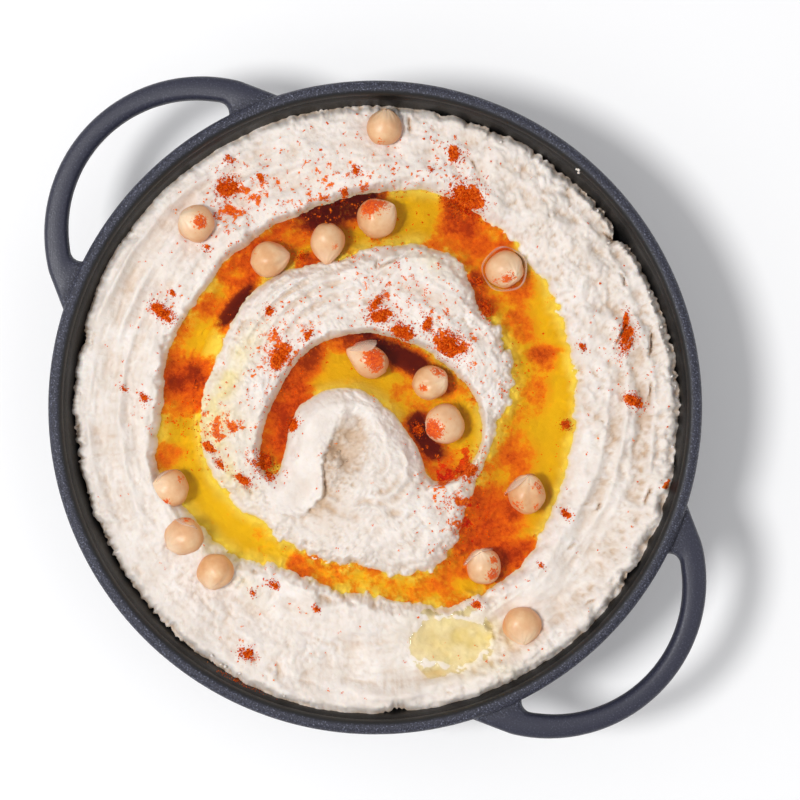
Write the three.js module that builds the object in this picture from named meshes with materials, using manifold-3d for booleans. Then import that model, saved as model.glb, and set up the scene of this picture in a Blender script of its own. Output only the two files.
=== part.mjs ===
// Hummus in the round cast-iron serving pan that holds it, with two loop handles.
//
// Frame: millimetres, +Z up. The origin is the centre of the pan's flat underside, and the
// handles lie along X. The hummus is one soft solid that fills the pan to a few millimetres
// under the rim. A spoon has left two grooves in it, a ring and a hook inside the ring, and
// olive oil stands in both to one level, with a thin third pool on the outer ring of hummus.
// Whole chickpeas lie in the oil and on the hummus, each sunk a little into what is under it.

import * as THREE from "three";
import { mergeVertices } from "three/addons/utils/BufferGeometryUtils.js";
import Module from "manifold-3d";

// ---------------------------------------------------------------- driving dimensions

const PAN = {
  rimRadius: 95,
  height: 47,
  baseRadius: 75, // of the flat that the pan rests on
  floor: 4.5,
  wall: 4,
  lipDepth: 4.5, // height of the thicker lip that runs round the rim
  segments: 48,
};

const HANDLE = {
  reach: 118, // from the pan's axis to the handle's far edge
  edgeRadius: 46, // of the far edge, seen from above
  gapReach: 111.5, // from the pan's axis to the far edge of the finger gap
  gapRadius: 37.5,
  gapCorner: 3.5,
  shoulder: 9, // hollow radius where the handle flows into the pan
  thickness: 6.5,
  edgeRound: 1.6,
  drop: 3, // from the rim's top down to the handle's top
};

const HUMMUS = {
  clearance: 0.3, // between any two pieces that touch
  crest: 6, // height of the ridges above the oil
  edgeFall: 3.5, // how much lower the hummus lies where it meets the wall
  edgeWidth: 13, // over what width it falls
  bankWidth: 6.5, // from the oil's edge up to a crest
  angles: 60,
  rings: 16,
};

const OIL = {
  level: 33.5, // of the two deep pools, above the pan's underside
  depth: 4.2,
  bedWidth: 7, // from the oil's edge to the deepest part of a groove
};

const CHICKPEA = {
  radius: 5.35,
  beak: 1.9, // how far the pointed end stands out of the ball
  around: 8,
  along: 6,
};

// Radii of the ring groove's outer and inner edge, every 15 degrees from +X.
const RING_OUTER = [
  63, 60.5, 59, 59.5, 60, 61.5, 63, 63.5, 66, 63.5, 61.5, 61.5,
  61.5, 61.5, 63.5, 63, 66.5, 63, 60.5, 55.3, 55.5, 56, 60.5, 63.7,
];
const RING_INNER = [
  39, 36.5, 36.2, 38.5, 41.5, 43.5, 43, 50, 50, 47.4, 45, 47.5,
  50, 49.5, 49.5, 52, 52.5, 51.5, 48, 47.5, 47.8, 48, 50.5, 47,
];

// The hook-shaped groove: the spoon's path from its tail to its head, as x, y and half width.
const HOOK = [
  [-9.5, -34, 2.5], [-14.5, -28, 3.8], [-19, -19.5, 3.6], [-20.5, -10, 5], [-18.5, -1, 7],
  [-12, 7, 8.4], [-3, 11.5, 9.4], [7, 13, 10.8], [17, 11.5, 11], [23.5, 7, 8.5], [25.5, 1, 4.5],
];

// Places where the spoon pushed the hummus up or pressed it in: x, y, reach and height.
const MOUNDS = [
  [-10, -16, 7, 0.8], [-4, -26, 8, 1.0], [0, -36, 7, 0.6], // the smooth swath at the centre
  [3, -13, 6, -3.4], [8, -30, 6, -1.6], // hollows on the far side of the swath
  [22, -16, 15, 0.4], [-38, -8, 10, 0.5], [2, 33, 12, 0.5],
];

// The thin pool on the outer ring of hummus: centre, half axes, turn, level and depth.
const PATCH = { x: 64.5, y: -33, long: 11, wide: 8, turn: 35, level: 37.6, depth: 1.3 };

// Each chickpea: x, y, height of its middle, size, and where its beak points (turn, lift).
const CHICKPEAS = {
  rim_top: [-56, 59.5, 39.9, 1.0, 128, 24],
  rim_left: [-75, 1, 40.2, 1.03, 200, 40],
  ring_left: [-53.2, 8.1, 34.6, 1.02, 66, 8],
  ring_beak: [-44.6, 25, 35.0, 1.0, -62, 4],
  ring_paprika: [-39.2, 39, 34.8, 1.08, 95, 12],
  ring_top: [-1.8, 55.8, 34.0, 1.04, 10, 50],
  hook_tail: [-10.8, 8.4, 34.2, 1.02, 172, 6],
  hook_middle: [6.3, 16.6, 34.6, 1.02, 60, 40],
  hook_head: [18, 11.2, 34.8, 1.1, 250, 30],
  ring_right: [49.6, 13.4, 35.0, 1.12, 130, 30],
  ring_lower: [55.9, -10.6, 35.0, 1.02, 150, 34],
  rim_right: [75.4, -14.8, 39.4, 1.06, -40, 30],
  shore_first: [-25.6, -59.6, 35.6, 1.04, 215, 30],
  shore_middle: [-13, -66.2, 38.8, 1.04, 260, 30],
  shore_last: [0.8, -66.9, 39.8, 1.0, 300, 30],
};

const LOOKS = {
  iron: { color: 0x34364a, roughness: 0.55, metalness: 0.1 },
  hummus: { color: 0xe9e0d3, roughness: 0.75, metalness: 0 },
  oil: { color: 0xd9a21c, roughness: 0.08, metalness: 0 },
  chickpea: { color: 0xe8c08f, roughness: 0.35, metalness: 0 },
};

// ---------------------------------------------------------------- joining and cutting

const wasm = await Module();
wasm.setup();

// A closed three.js geometry as a solid that can be joined and cut.
function solidOf(geometry) {
  const bare = geometry.index ? geometry.toNonIndexed() : geometry.clone();
  bare.deleteAttribute("normal");
  bare.deleteAttribute("uv");
  const merged = mergeVertices(bare, 1e-3);
  return new wasm.Manifold(
    new wasm.Mesh({
      numProp: 3,
      vertProperties: new Float32Array(merged.attributes.position.array),
      triVerts: new Uint32Array(merged.index.array),
    }),
  );
}

// A solid as a three.js geometry.
function geometryOf(solid) {
  const mesh = solid.getMesh();
  const geometry = new THREE.BufferGeometry();
  geometry.setAttribute("position", new THREE.BufferAttribute(mesh.vertProperties, 3));
  geometry.setIndex(new THREE.BufferAttribute(mesh.triVerts, 1));
  geometry.computeVertexNormals();
  return geometry;
}

// The largest of the bodies that a cut has left.
function largestBody(solid) {
  return solid.decompose().reduce((most, body) => (body.volume() > most.volume() ? body : most));
}

function named(name, geometry, look) {
  const mesh = new THREE.Mesh(geometry, new THREE.MeshStandardMaterial(look));
  mesh.name = name;
  return mesh;
}

// ---------------------------------------------------------------- small mathematics

const radians = THREE.MathUtils.degToRad;
const smoothstep = THREE.MathUtils.smoothstep;

// A smooth closed curve through values that stand at equal steps round the circle.
function aroundCircle(values, angle) {
  const n = values.length;
  const at = ((((angle / (2 * Math.PI)) * n) % n) + n) % n;
  const i = Math.floor(at);
  const t = at - i;
  const [a, b, c, d] = [-1, 0, 1, 2].map((k) => values[(i + k + n) % n]);
  const bend = 2 * b + (c - a) * t + (2 * a - 5 * b + 4 * c - d) * t * t;
  return 0.5 * (bend + (3 * b - a - 3 * c + d) * t * t * t);
}

// The centre of the circle of radius `r` that touches two circles centred on X, at `x1` and
// `x2`, where `d1` and `d2` are how far its centre lies from each of theirs.
function touchingCentre(x1, d1, x2, d2) {
  const x = (d1 * d1 - d2 * d2 - x1 * x1 + x2 * x2) / (2 * (x2 - x1));
  return new THREE.Vector2(x, Math.sqrt(d1 * d1 - (x - x1) * (x - x1)));
}

// ---------------------------------------------------------------- the pan

// The bowl's inner radius at a height, from the rounded corner of the floor up to the lip.
function innerRadius(z) {
  const cornerHeight = 12;
  const cornerRadius = 84.5;
  const mouth = PAN.rimRadius - PAN.wall;
  const up = THREE.MathUtils.clamp((z - PAN.floor) / cornerHeight, 0, 1);
  const corner = cornerRadius * 0.9 + cornerRadius * 0.1 * Math.sqrt(1 - (1 - up) * (1 - up));
  const flare = ((mouth - cornerRadius) * Math.max(0, z - PAN.floor - cornerHeight)) /
    (PAN.height - PAN.floor - cornerHeight);
  return corner + flare;
}

// The bowl in section: flat base, round corner, flared wall, thick rounded lip, and back inside.
function bowlSolid() {
  const outer = PAN.rimRadius;
  const lipFoot = PAN.height - PAN.lipDepth;
  const inside = [30, 16.5, 11, 7, PAN.floor + 0.6].map((z) => [innerRadius(z), z]);
  const profile = [
    [0, 0],
    [PAN.baseRadius, 0],
    [PAN.baseRadius + 5.5, 1.6],
    [PAN.baseRadius + 9.5, 6],
    [PAN.baseRadius + 13, 14],
    [outer - 2.6, lipFoot - 1],
    [outer - 0.5, lipFoot + 0.2],
    [outer, lipFoot + 1.6],
    [outer - 0.4, PAN.height - 1.1],
    [outer - 1.5, PAN.height],
    [outer - 2.8, PAN.height - 0.1],
    [innerRadius(PAN.height) + 0.2, PAN.height - 1.6],
    ...inside,
    [innerRadius(PAN.floor) - 4, PAN.floor],
    [0, PAN.floor],
  ];
  const points = profile.map(([r, z]) => new THREE.Vector2(r, z));
  const lathe = new THREE.LatheGeometry(points, PAN.segments);
  lathe.rotateX(Math.PI / 2);
  return solidOf(lathe);
}

// The points along arcs that follow one another, each arc given as its centre, its radius and
// the angles at which it starts and stops.
function throughArcs(arcs) {
  const longestStep = 10; // millimetres along an arc
  const widestStep = 0.6; // radians round an arc
  return arcs.flatMap(([x, y, radius, start, stop]) => {
    const sweep = stop - start;
    const steps = Math.ceil(Math.abs(sweep) * Math.max(1 / widestStep, radius / longestStep));
    return Array.from({ length: steps }, (_, i) => {
      const angle = start + (sweep * (i + 0.5)) / steps;
      return new THREE.Vector2(x + radius * Math.cos(angle), y + radius * Math.sin(angle));
    });
  });
}

// One loop handle on +X: a flat plate with a round far edge, hollow shoulders that flow into
// the pan, and a finger gap whose corners are round. Its root ends inside the pan's wall.
function handleSolid() {
  const root = PAN.rimRadius - 5.5;
  const edgeX = HANDLE.reach - HANDLE.edgeRadius;
  const gapX = HANDLE.gapReach - HANDLE.gapRadius;
  const { shoulder, gapCorner } = HANDLE;
  const turn = Math.PI;

  const hollow = touchingCentre(0, root + 3 + shoulder, edgeX, HANDLE.edgeRadius + shoulder);
  const fromPan = Math.atan2(hollow.y, hollow.x);
  const toEdge = Math.atan2(hollow.y, hollow.x - edgeX);
  const buried = 0.3; // radians of the shoulder's arc that would lie inside the pan's wall
  const plate = new THREE.Shape(
    throughArcs([
      [0, 0, root, -0.9 * fromPan, 0.9 * fromPan],
      [hollow.x, hollow.y, shoulder, fromPan + turn + buried, toEdge + turn],
      [edgeX, 0, HANDLE.edgeRadius, toEdge, -toEdge],
      [hollow.x, -hollow.y, shoulder, turn - toEdge, turn - fromPan - buried],
    ]),
  );

  const gapRoot = PAN.rimRadius - 1;
  const corner = touchingCentre(0, gapRoot + gapCorner, gapX, HANDLE.gapRadius - gapCorner);
  const cornerTurn = Math.atan2(corner.y, corner.x);
  const gapTurn = Math.atan2(corner.y, corner.x - gapX);
  const gap = throughArcs([
    [0, 0, gapRoot, -cornerTurn, cornerTurn],
    [corner.x, corner.y, gapCorner, cornerTurn + turn, gapTurn],
    [gapX, 0, HANDLE.gapRadius, gapTurn, -gapTurn],
    [corner.x, -corner.y, gapCorner, -gapTurn, -cornerTurn - turn],
  ]);
  plate.holes.push(new THREE.Path(gap.reverse()));

  const extruded = new THREE.ExtrudeGeometry(plate, {
    depth: HANDLE.thickness - 2 * HANDLE.edgeRound,
    bevelSize: HANDLE.edgeRound,
    bevelOffset: -HANDLE.edgeRound,
    bevelThickness: HANDLE.edgeRound,
    bevelSegments: 1,
  });
  const underside = PAN.height - HANDLE.drop - HANDLE.thickness;
  extruded.translate(0, 0, underside + HANDLE.edgeRound);
  return solidOf(extruded);
}

function panSolid() {
  const handle = handleSolid();
  return bowlSolid().add(handle).add(handle.rotate([0, 0, 180]));
}

// ---------------------------------------------------------------- the hummus

// Points along the hook groove, each with the groove's half width there.
const hookPath = (() => {
  const curve = new THREE.CatmullRomCurve3(HOOK.map((p) => new THREE.Vector3(...p)));
  return curve.getPoints(80);
})();

// How far a point lies outside the nearest groove; negative inside one.
function grooveDistance(x, y) {
  const r = Math.hypot(x, y);
  const angle = Math.atan2(y, x);
  const ring = Math.max(r - aroundCircle(RING_OUTER, angle), aroundCircle(RING_INNER, angle) - r);
  const hook = hookPath.map((p) => Math.hypot(x - p.x, y - p.y) - p.z);
  return Math.min(ring, ...hook);
}

// How far a point lies inside the thin pool's edge, as a share: 1 at its middle, 0 at its edge.
function patchShare(x, y) {
  const turn = radians(PATCH.turn);
  const [dx, dy] = [x - PATCH.x, y - PATCH.y];
  const along = (dx * Math.cos(turn) + dy * Math.sin(turn)) / PATCH.long;
  const across = (dy * Math.cos(turn) - dx * Math.sin(turn)) / PATCH.wide;
  return 1 - along * along - across * across;
}

// The height of the hummus over a point: a round bed under the oil in each groove, banks that
// climb to the crests, mounds and hollows of the spoon, and a fall towards the pan's wall.
function hummusHeight(x, y) {
  const distance = grooveDistance(x, y);
  if (distance < 0) {
    return OIL.level - OIL.depth * Math.sin((Math.PI / 2) * Math.min(1, -distance / OIL.bedWidth));
  }
  const wall = innerRadius(OIL.level + HUMMUS.crest);
  let rise = HUMMUS.crest - 0.6;
  for (const [mx, my, reach, height] of MOUNDS) {
    rise += height * Math.exp(-((x - mx) ** 2 + (y - my) ** 2) / (reach * reach));
  }
  rise -= HUMMUS.edgeFall * smoothstep(Math.hypot(x, y), wall - HUMMUS.edgeWidth, wall);
  const z = OIL.level + rise * smoothstep(distance, -1, HUMMUS.bankWidth);
  const share = patchShare(x, y);
  return share > -0.6 ? Math.min(z, PATCH.level - PATCH.depth * share) : z;
}

// The hummus as one body: a spoon-marked top over a polar grid, and under it the shape of the
// bowl's inside, a clearance away from the iron.
function hummusSolid() {
  const sides = HUMMUS.angles;
  const positions = [];
  const index = [];
  const place = (r, z, i) => {
    const angle = (i / sides) * 2 * Math.PI;
    positions.push(r * Math.cos(angle), r * Math.sin(angle), z);
  };
  const gap = HUMMUS.clearance;
  const edge = innerRadius(OIL.level + HUMMUS.crest - HUMMUS.edgeFall) - gap - 0.4;

  positions.push(0, 0, hummusHeight(0, 0));
  for (let ring = 1; ring <= HUMMUS.rings; ring++) {
    const r = edge * Math.pow(ring / HUMMUS.rings, 0.9);
    for (let i = 0; i < sides; i++) {
      const angle = (i / sides) * 2 * Math.PI;
      place(r, hummusHeight(r * Math.cos(angle), r * Math.sin(angle)), i);
    }
  }
  const lowest = PAN.floor + gap;
  for (const z of [16.5, 10.5, 7, lowest]) {
    const r = z === lowest ? innerRadius(PAN.floor) - 4.5 : innerRadius(z) - gap - 0.3;
    for (let i = 0; i < sides; i++) place(r, z, i);
  }
  positions.push(0, 0, lowest);

  const ringsInAll = HUMMUS.rings + 4;
  const vertex = (ring, i) => 1 + (ring - 1) * sides + (i % sides);
  const last = positions.length / 3 - 1;
  for (let i = 0; i < sides; i++) {
    index.push(0, vertex(1, i), vertex(1, i + 1));
    for (let ring = 1; ring < ringsInAll; ring++) {
      const [a, b] = [vertex(ring, i), vertex(ring, i + 1)];
      const [c, d] = [vertex(ring + 1, i), vertex(ring + 1, i + 1)];
      index.push(a, c, d, a, d, b);
    }
    index.push(vertex(ringsInAll, i), last, vertex(ringsInAll, i + 1));
  }
  const geometry = new THREE.BufferGeometry();
  geometry.setAttribute("position", new THREE.Float32BufferAttribute(positions, 3));
  geometry.setIndex(index);
  return solidOf(geometry);
}

// ---------------------------------------------------------------- chickpeas

// A chickpea lying along +Z: a ball, a little flattened, that draws out to a short beak.
function chickpeaGeometry(grow) {
  const profile = [];
  for (let k = 0; k <= CHICKPEA.along; k++) {
    const angle = (Math.PI * k) / CHICKPEA.along;
    const towardsBeak = Math.max(0, -Math.cos(angle));
    const r = (CHICKPEA.radius + grow) * Math.sin(angle) * (1 - 0.16 * towardsBeak ** 3);
    const z = -(CHICKPEA.radius * 0.94 + grow) * Math.cos(angle) + CHICKPEA.beak * towardsBeak ** 6;
    profile.push(new THREE.Vector2(k === 0 || k === CHICKPEA.along ? 0 : r, z));
  }
  const lathe = new THREE.LatheGeometry(profile, CHICKPEA.around);
  return lathe.rotateX(Math.PI / 2);
}

// Turns a chickpea so that its beak points `turn` degrees round from +X and `lift` degrees up.
function setChickpea(object, [x, y, z, size, turn, lift]) {
  object.rotation.order = "ZYX";
  object.rotation.set(0, radians(90 - lift), radians(turn));
  object.scale.setScalar(size);
  object.position.set(x, y, z);
}

// The space that every chickpea needs in what it lies in, a clearance wider than the chickpea.
function chickpeaDents() {
  const holder = new THREE.Object3D();
  return Object.values(CHICKPEAS).map((place) => {
    setChickpea(holder, place);
    holder.updateMatrix();
    return solidOf(chickpeaGeometry(HUMMUS.clearance).applyMatrix4(holder.matrix));
  });
}

// ---------------------------------------------------------------- oil

// What stands above the hummus, up to a level, inside an outline on the pan's plan. The
// hummus is lifted by the clearance before it is cut away, so that the two stay apart.
function poolSolid(outline, hole, level, depth, hummus, dents) {
  const shape = new THREE.Shape(outline);
  if (hole) shape.holes.push(new THREE.Path(hole));
  const block = new THREE.ExtrudeGeometry(shape, { depth: depth + 1, bevelEnabled: false });
  block.translate(0, 0, level - depth - 1);
  let pool = solidOf(block).subtract(hummus.translate([0, 0, HUMMUS.clearance]));
  for (const dent of dents) pool = pool.subtract(dent);
  return largestBody(pool);
}

// A closed outline on the plan, `width` outside or inside one edge of the ring groove.
function ringOutline(radii, width, steps) {
  return Array.from({ length: steps }, (_, i) => {
    const angle = (i / steps) * 2 * Math.PI;
    const r = aroundCircle(radii, angle) + width;
    return new THREE.Vector2(r * Math.cos(angle), r * Math.sin(angle));
  });
}

// A rounded outline that holds the whole hook groove: its middle ring of hummus stands higher
// than the oil, so the outline only has to keep clear of the ring groove.
function hookOutline(steps) {
  return ringOutline(RING_INNER, -3.5, steps);
}

function patchOutline(steps) {
  const turn = radians(PATCH.turn);
  return Array.from({ length: steps }, (_, i) => {
    const angle = (i / steps) * 2 * Math.PI;
    return new THREE.Vector2(1.1 * PATCH.long * Math.cos(angle), 1.1 * PATCH.wide * Math.sin(angle))
      .rotateAround(new THREE.Vector2(), turn)
      .add(new THREE.Vector2(PATCH.x, PATCH.y));
  });
}

// ---------------------------------------------------------------- the whole dish

const dish = new THREE.Group();
const pan = panSolid();
const dents = chickpeaDents();
const filled = hummusSolid();
const hummus = largestBody(dents.reduce((solid, dent) => solid.subtract(dent), filled));

const { level, depth } = OIL;
const ringOut = ringOutline(RING_OUTER, 2, 72);
const ringIn = ringOutline(RING_INNER, -2, 72);
const ringPool = poolSolid(ringOut, ringIn, level, depth, filled, dents);
const hookPool = poolSolid(hookOutline(48), null, level, depth, filled, dents);
const patchPool = poolSolid(patchOutline(24), null, PATCH.level, PATCH.depth, filled, dents);

dish.add(named("pan", geometryOf(pan), LOOKS.iron));
dish.add(named("hummus", geometryOf(hummus), LOOKS.hummus));
dish.add(named("oil_ring", geometryOf(ringPool), LOOKS.oil));
dish.add(named("oil_hook", geometryOf(hookPool), LOOKS.oil));
dish.add(named("oil_patch", geometryOf(patchPool), LOOKS.oil));
for (const [name, place] of Object.entries(CHICKPEAS)) {
  const pea = named(`chickpea_${name}`, chickpeaGeometry(0), LOOKS.chickpea);
  setChickpea(pea, place);
  dish.add(pea);
}

export default dish;
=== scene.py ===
"""Looks of a dish of hummus: a cast-iron serving pan, hummus with spoon marks, olive oil,
paprika and whole chickpeas.

Lengths are in millimetres until a mesh is made, and angles round the pan are in degrees from
+X, which is the middle of one handle. Every new piece is a surface worked out with numpy.
"""

import math
from functools import partial

import bmesh
import bpy
import numpy as np
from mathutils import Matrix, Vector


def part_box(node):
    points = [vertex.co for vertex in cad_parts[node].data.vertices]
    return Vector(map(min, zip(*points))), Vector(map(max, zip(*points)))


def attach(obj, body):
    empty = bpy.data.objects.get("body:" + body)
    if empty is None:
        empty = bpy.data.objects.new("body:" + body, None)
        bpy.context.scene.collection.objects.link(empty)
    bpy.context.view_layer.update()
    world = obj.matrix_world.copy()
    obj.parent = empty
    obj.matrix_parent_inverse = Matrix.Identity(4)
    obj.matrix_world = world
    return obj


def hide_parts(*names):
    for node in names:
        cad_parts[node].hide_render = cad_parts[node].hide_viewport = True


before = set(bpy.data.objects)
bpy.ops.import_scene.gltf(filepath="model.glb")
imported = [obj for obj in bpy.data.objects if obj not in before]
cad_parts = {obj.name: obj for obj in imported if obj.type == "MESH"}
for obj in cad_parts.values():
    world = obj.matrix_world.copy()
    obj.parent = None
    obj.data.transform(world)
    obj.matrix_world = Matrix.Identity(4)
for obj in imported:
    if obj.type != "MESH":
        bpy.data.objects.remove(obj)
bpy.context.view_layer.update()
METRE = 1000.0  # millimetres


def box_mm(node):
    """Lowest and highest corner of a CAD node, in millimetres."""
    low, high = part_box(node)
    return np.array(low) * METRE, np.array(high) * METRE


# ------------------------------------------------------------------ sizes taken from the frame

PAN_LOW, PAN_HIGH = box_mm("pan")
RIM_RADIUS = (PAN_HIGH[1] - PAN_LOW[1]) / 2
PAN_HEIGHT = PAN_HIGH[2]
HANDLE_REACH = PAN_HIGH[0]
OIL_LEVEL = box_mm("oil_ring")[1][2]
PATCH_LEVEL = box_mm("oil_patch")[1][2]
HUMMUS_FOOT = box_mm("hummus")[0][2]
FLOOR_THICKNESS = HUMMUS_FOOT - 0.3
HUMMUS_EDGE = box_mm("hummus")[1][0]

# ------------------------------------------------------------------ the spoon's marks

# Radii of the ring groove's shores, every 15 degrees.
RING_OUTER = [
    63, 60.5, 59, 59.5, 60, 61.5, 63, 63.5, 66, 63.5, 61.5, 61.5,
    61.5, 61.5, 63.5, 63, 66.5, 63, 60.5, 55.3, 55.5, 56, 60.5, 63.7,
]  # fmt: skip
RING_INNER = [
    39, 36.5, 36.2, 38.5, 41.5, 43.5, 43, 50, 50, 47.4, 45, 47.5,
    50, 49.5, 49.5, 52, 52.5, 51.5, 48, 47.5, 47.8, 48, 50.5, 47,
]  # fmt: skip
# Every 30 degrees: how wide the banks are that climb from the ring groove, on its outer and
# inner side, and how crisp their crests are. The spoon's edge cut the steep crisp banks from
# 150 to 210 degrees, and its back pressed the gentle ones.
OUTER_BANK = [5.0, 5.0, 5, 5.5, 3.6, 1.8, 1.5, 1.6, 2.4, 3, 3.2, 4]
INNER_BANK = [6, 6, 5, 5, 4.5, 4, 3.4, 9, 9, 5, 4, 5]
CREST_CRISPNESS = [0.5, 0.3, 0.2, 0.4, 0.7, 0.9, 1.0, 1.0, 0.6, 0.6, 0.7, 0.6]

# Every 30 degrees: how far the surface falls toward the wall, and how far short of the wall
# it stops. On the +X side it is pushed up the wall.
WALL_FALL = [-4.4, -3.0, -1.6, -0.8, -0.6, -0.8, -1.2, -1.2, -1.2, -1.8, -3.4, -4.4]
WALL_GAP = [0.0, 0.2, 0.7, 0.8, 0.6, 0.4, 0.1, 0.4, 0.9, 0.9, 0.1, 0.0]
# Notches torn into that edge: where, how wide (both in degrees) and how deep.
WALL_NOTCHES = [(80.5, 1.8, 2.6), (319, 2.2, 1.6), (212, 1.5, 1.4), (97, 1.2, 1.0), (12, 2.5, 1.6)]

# The hook groove's middle line from tail to head: x, y and half width.
HOOK = [
    (-9.5, -34, 2.5), (-14.5, -28, 3.8), (-19, -19.5, 3.6), (-20.5, -10, 5), (-18.5, -1, 7),
    (-12, 7, 8.4), (-3, 11.5, 9.4), (7, 13, 10.8), (17, 11.5, 11), (23.5, 7, 8.5), (25.5, 1, 4.5),
]  # fmt: skip

OIL_DEPTH = 4.2
BED_WIDTH = 7.0  # from a shore to where the oil is deepest
CREST = 5.2  # height of the banks' tops above the oil
PATCH_MIDDLE = (64.5, -33)  # of the thin pool

# Long marks of the spoon on the rings of hummus: first and last angle, radius at each, half
# width, depth, and height of the lip that the spoon pushed up beside it.
STROKES = [
    (-66, 36, 74.0, 76.5, 8.0, 2.2, 1.2),
    (10, 62, 69.5, 72.0, 2.6, 1.6, 0.8),
    (22, 72, 80.5, 77.0, 2.6, 1.5, 1.0),
    (48, 96, 84.0, 84.5, 2.0, 1.2, 0.5),
    (95, 140, 74.0, 76.0, 4.0, 1.1, 0.6),
    (142, 222, 71.0, 74.0, 3.6, 1.5, 0.9),
    (150, 214, 80.0, 81.5, 3.0, 1.3, 1.0),
    (196, 262, 69.5, 73.5, 3.0, 1.1, 0.5),
    (204, 258, 79.0, 80.0, 4.0, 1.3, 0.6),
    (262, 300, 74.0, 70.0, 5.0, 1.1, 0.4),
    (152, 218, 45.0, 46.5, 1.2, 1.4, 1.0),
    (146, 206, 41.5, 42.0, 1.0, 1.5, 1.1),
    (140, 200, 38.2, 38.0, 1.2, 1.4, 0.9),
    (136, 192, 34.5, 34.0, 1.2, 1.5, 1.0),
    (120, 186, 31.0, 30.5, 1.0, 1.0, 0.7),
    (70, 128, 37.0, 36.0, 3.0, 1.0, 0.5),
]

# Curled folds on the mound: middle of the arc, radius, first and last angle, half width,
# depth and lip.
FOLDS = [
    (13, -12, 7.2, -75, 100, 1.4, 0.8, 1.3),
    (12, -12, 11.5, -80, 60, 1.3, 0.7, 0.7),
    (5, -13, 15.0, -85, -10, 1.6, 0.9, 0.9),
    (6, -10, 21.5, -95, -5, 1.6, 0.7, 0.7),
    (11, -11, 3.6, -60, 120, 1.1, 0.5, 0.6),
    (2, -12, 9.0, 10, 100, 1.2, 0.4, 0.5),
]

# Short tears in the surface: x, y, length, turn, depth.
TEARS = [
    (67.0, 25.5, 2.6, 102, 1.8), (63.5, 23.0, 2.6, 60, 0.8), (69.6, 12.0, 3.0, 75, 1.2),
    (-27.0, 33.0, 7.0, 70, 2.0), (-29.5, 30.0, 3.5, 120, 1.2), (44.0, 70.0, 8.0, 132, 2.0),
    (36.0, 66.0, 7.0, 110, 2.0), (13.0, 84.0, 4.0, 20, 2.2), (54.0, 60.0, 6.0, 125, 1.8),
    (75.0, 38.0, 6.0, 110, 1.8), (-73.0, -44.0, 4.0, 120, 1.0), (-30.0, 71.0, 4.0, 160, 1.2),
    (-52.0, 66.0, 5.0, 140, 1.4), (25.0, 78.0, 5.0, 160, 1.6), (73.0, 52.0, 7.0, 118, 1.8),
    (84.5, 4.0, 4.0, 88, 1.6), (80.0, -28.0, 4.0, 70, 1.0),
]  # fmt: skip

# How broken the surface is: x, y, half axes, turn and amount. Crumbs where it is more than 0,
# and less than 0 where the back of the spoon has smoothed it.
CRUMBLED = [
    (10, 82, 30, 12, 0, 0.6), (38, 72, 22, 16, -30, 0.6), (62, 54, 18, 22, -35, 0.6),
    (-22, 78, 18, 9, 15, 0.4), (80, 30, 8, 26, 15, 0.6), (12, 33, 18, 8, 0, 0.2), (-2, -46, 16, 4, 0, 0.4),
    (26, -40, 14, 7, 35, 0.5), (22, -24, 12, 9, 20, 0.35), (12, -72, 30, 10, 0, 0.1),
    (36, -14, 8, 14, 20, 0.3), (85, 0, 4, 20, 0, 0.5), (-20, -42, 12, 5, 0, 0.5), (-38, -22, 9, 16, 10, 0.3),
    (-80, -8, 10, 30, 0, -0.28), (-68, -30, 9, 26, 20, -0.22), (-60, -50, 9, 16, 40, -0.2),
    (70, -6, 8, 26, -6, -0.5), (60, -46, 14, 12, 40, -0.3), (68, 26, 4, 12, 12, -0.3),
    (-10, -27, 8, 15, -14, -0.55), (-26, -14, 3, 12, 4, -0.5), (50, 22, 5, 22, -30, -0.2),
    (-27, -8, 5, 16, 0, 0.3), (-14, 20, 12, 4, 35, 0.3),
]  # fmt: skip

# The smooth swath on the mound ends in this edge, x against y, past which a hollow opens.
SWATH_EDGE_Y = [-45, -42.5, -40, -36.5, -30, -26, -21.7, -17, -13, -8, -3]
SWATH_EDGE_X = [-8, -0.8, 5, 7.6, 6.8, 3.7, -0.5, -2.6, -3.8, -6, -8]

# ------------------------------------------------------------------ what lies on the hummus

REACH = 86.5  # how far from the middle paprika lies

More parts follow.
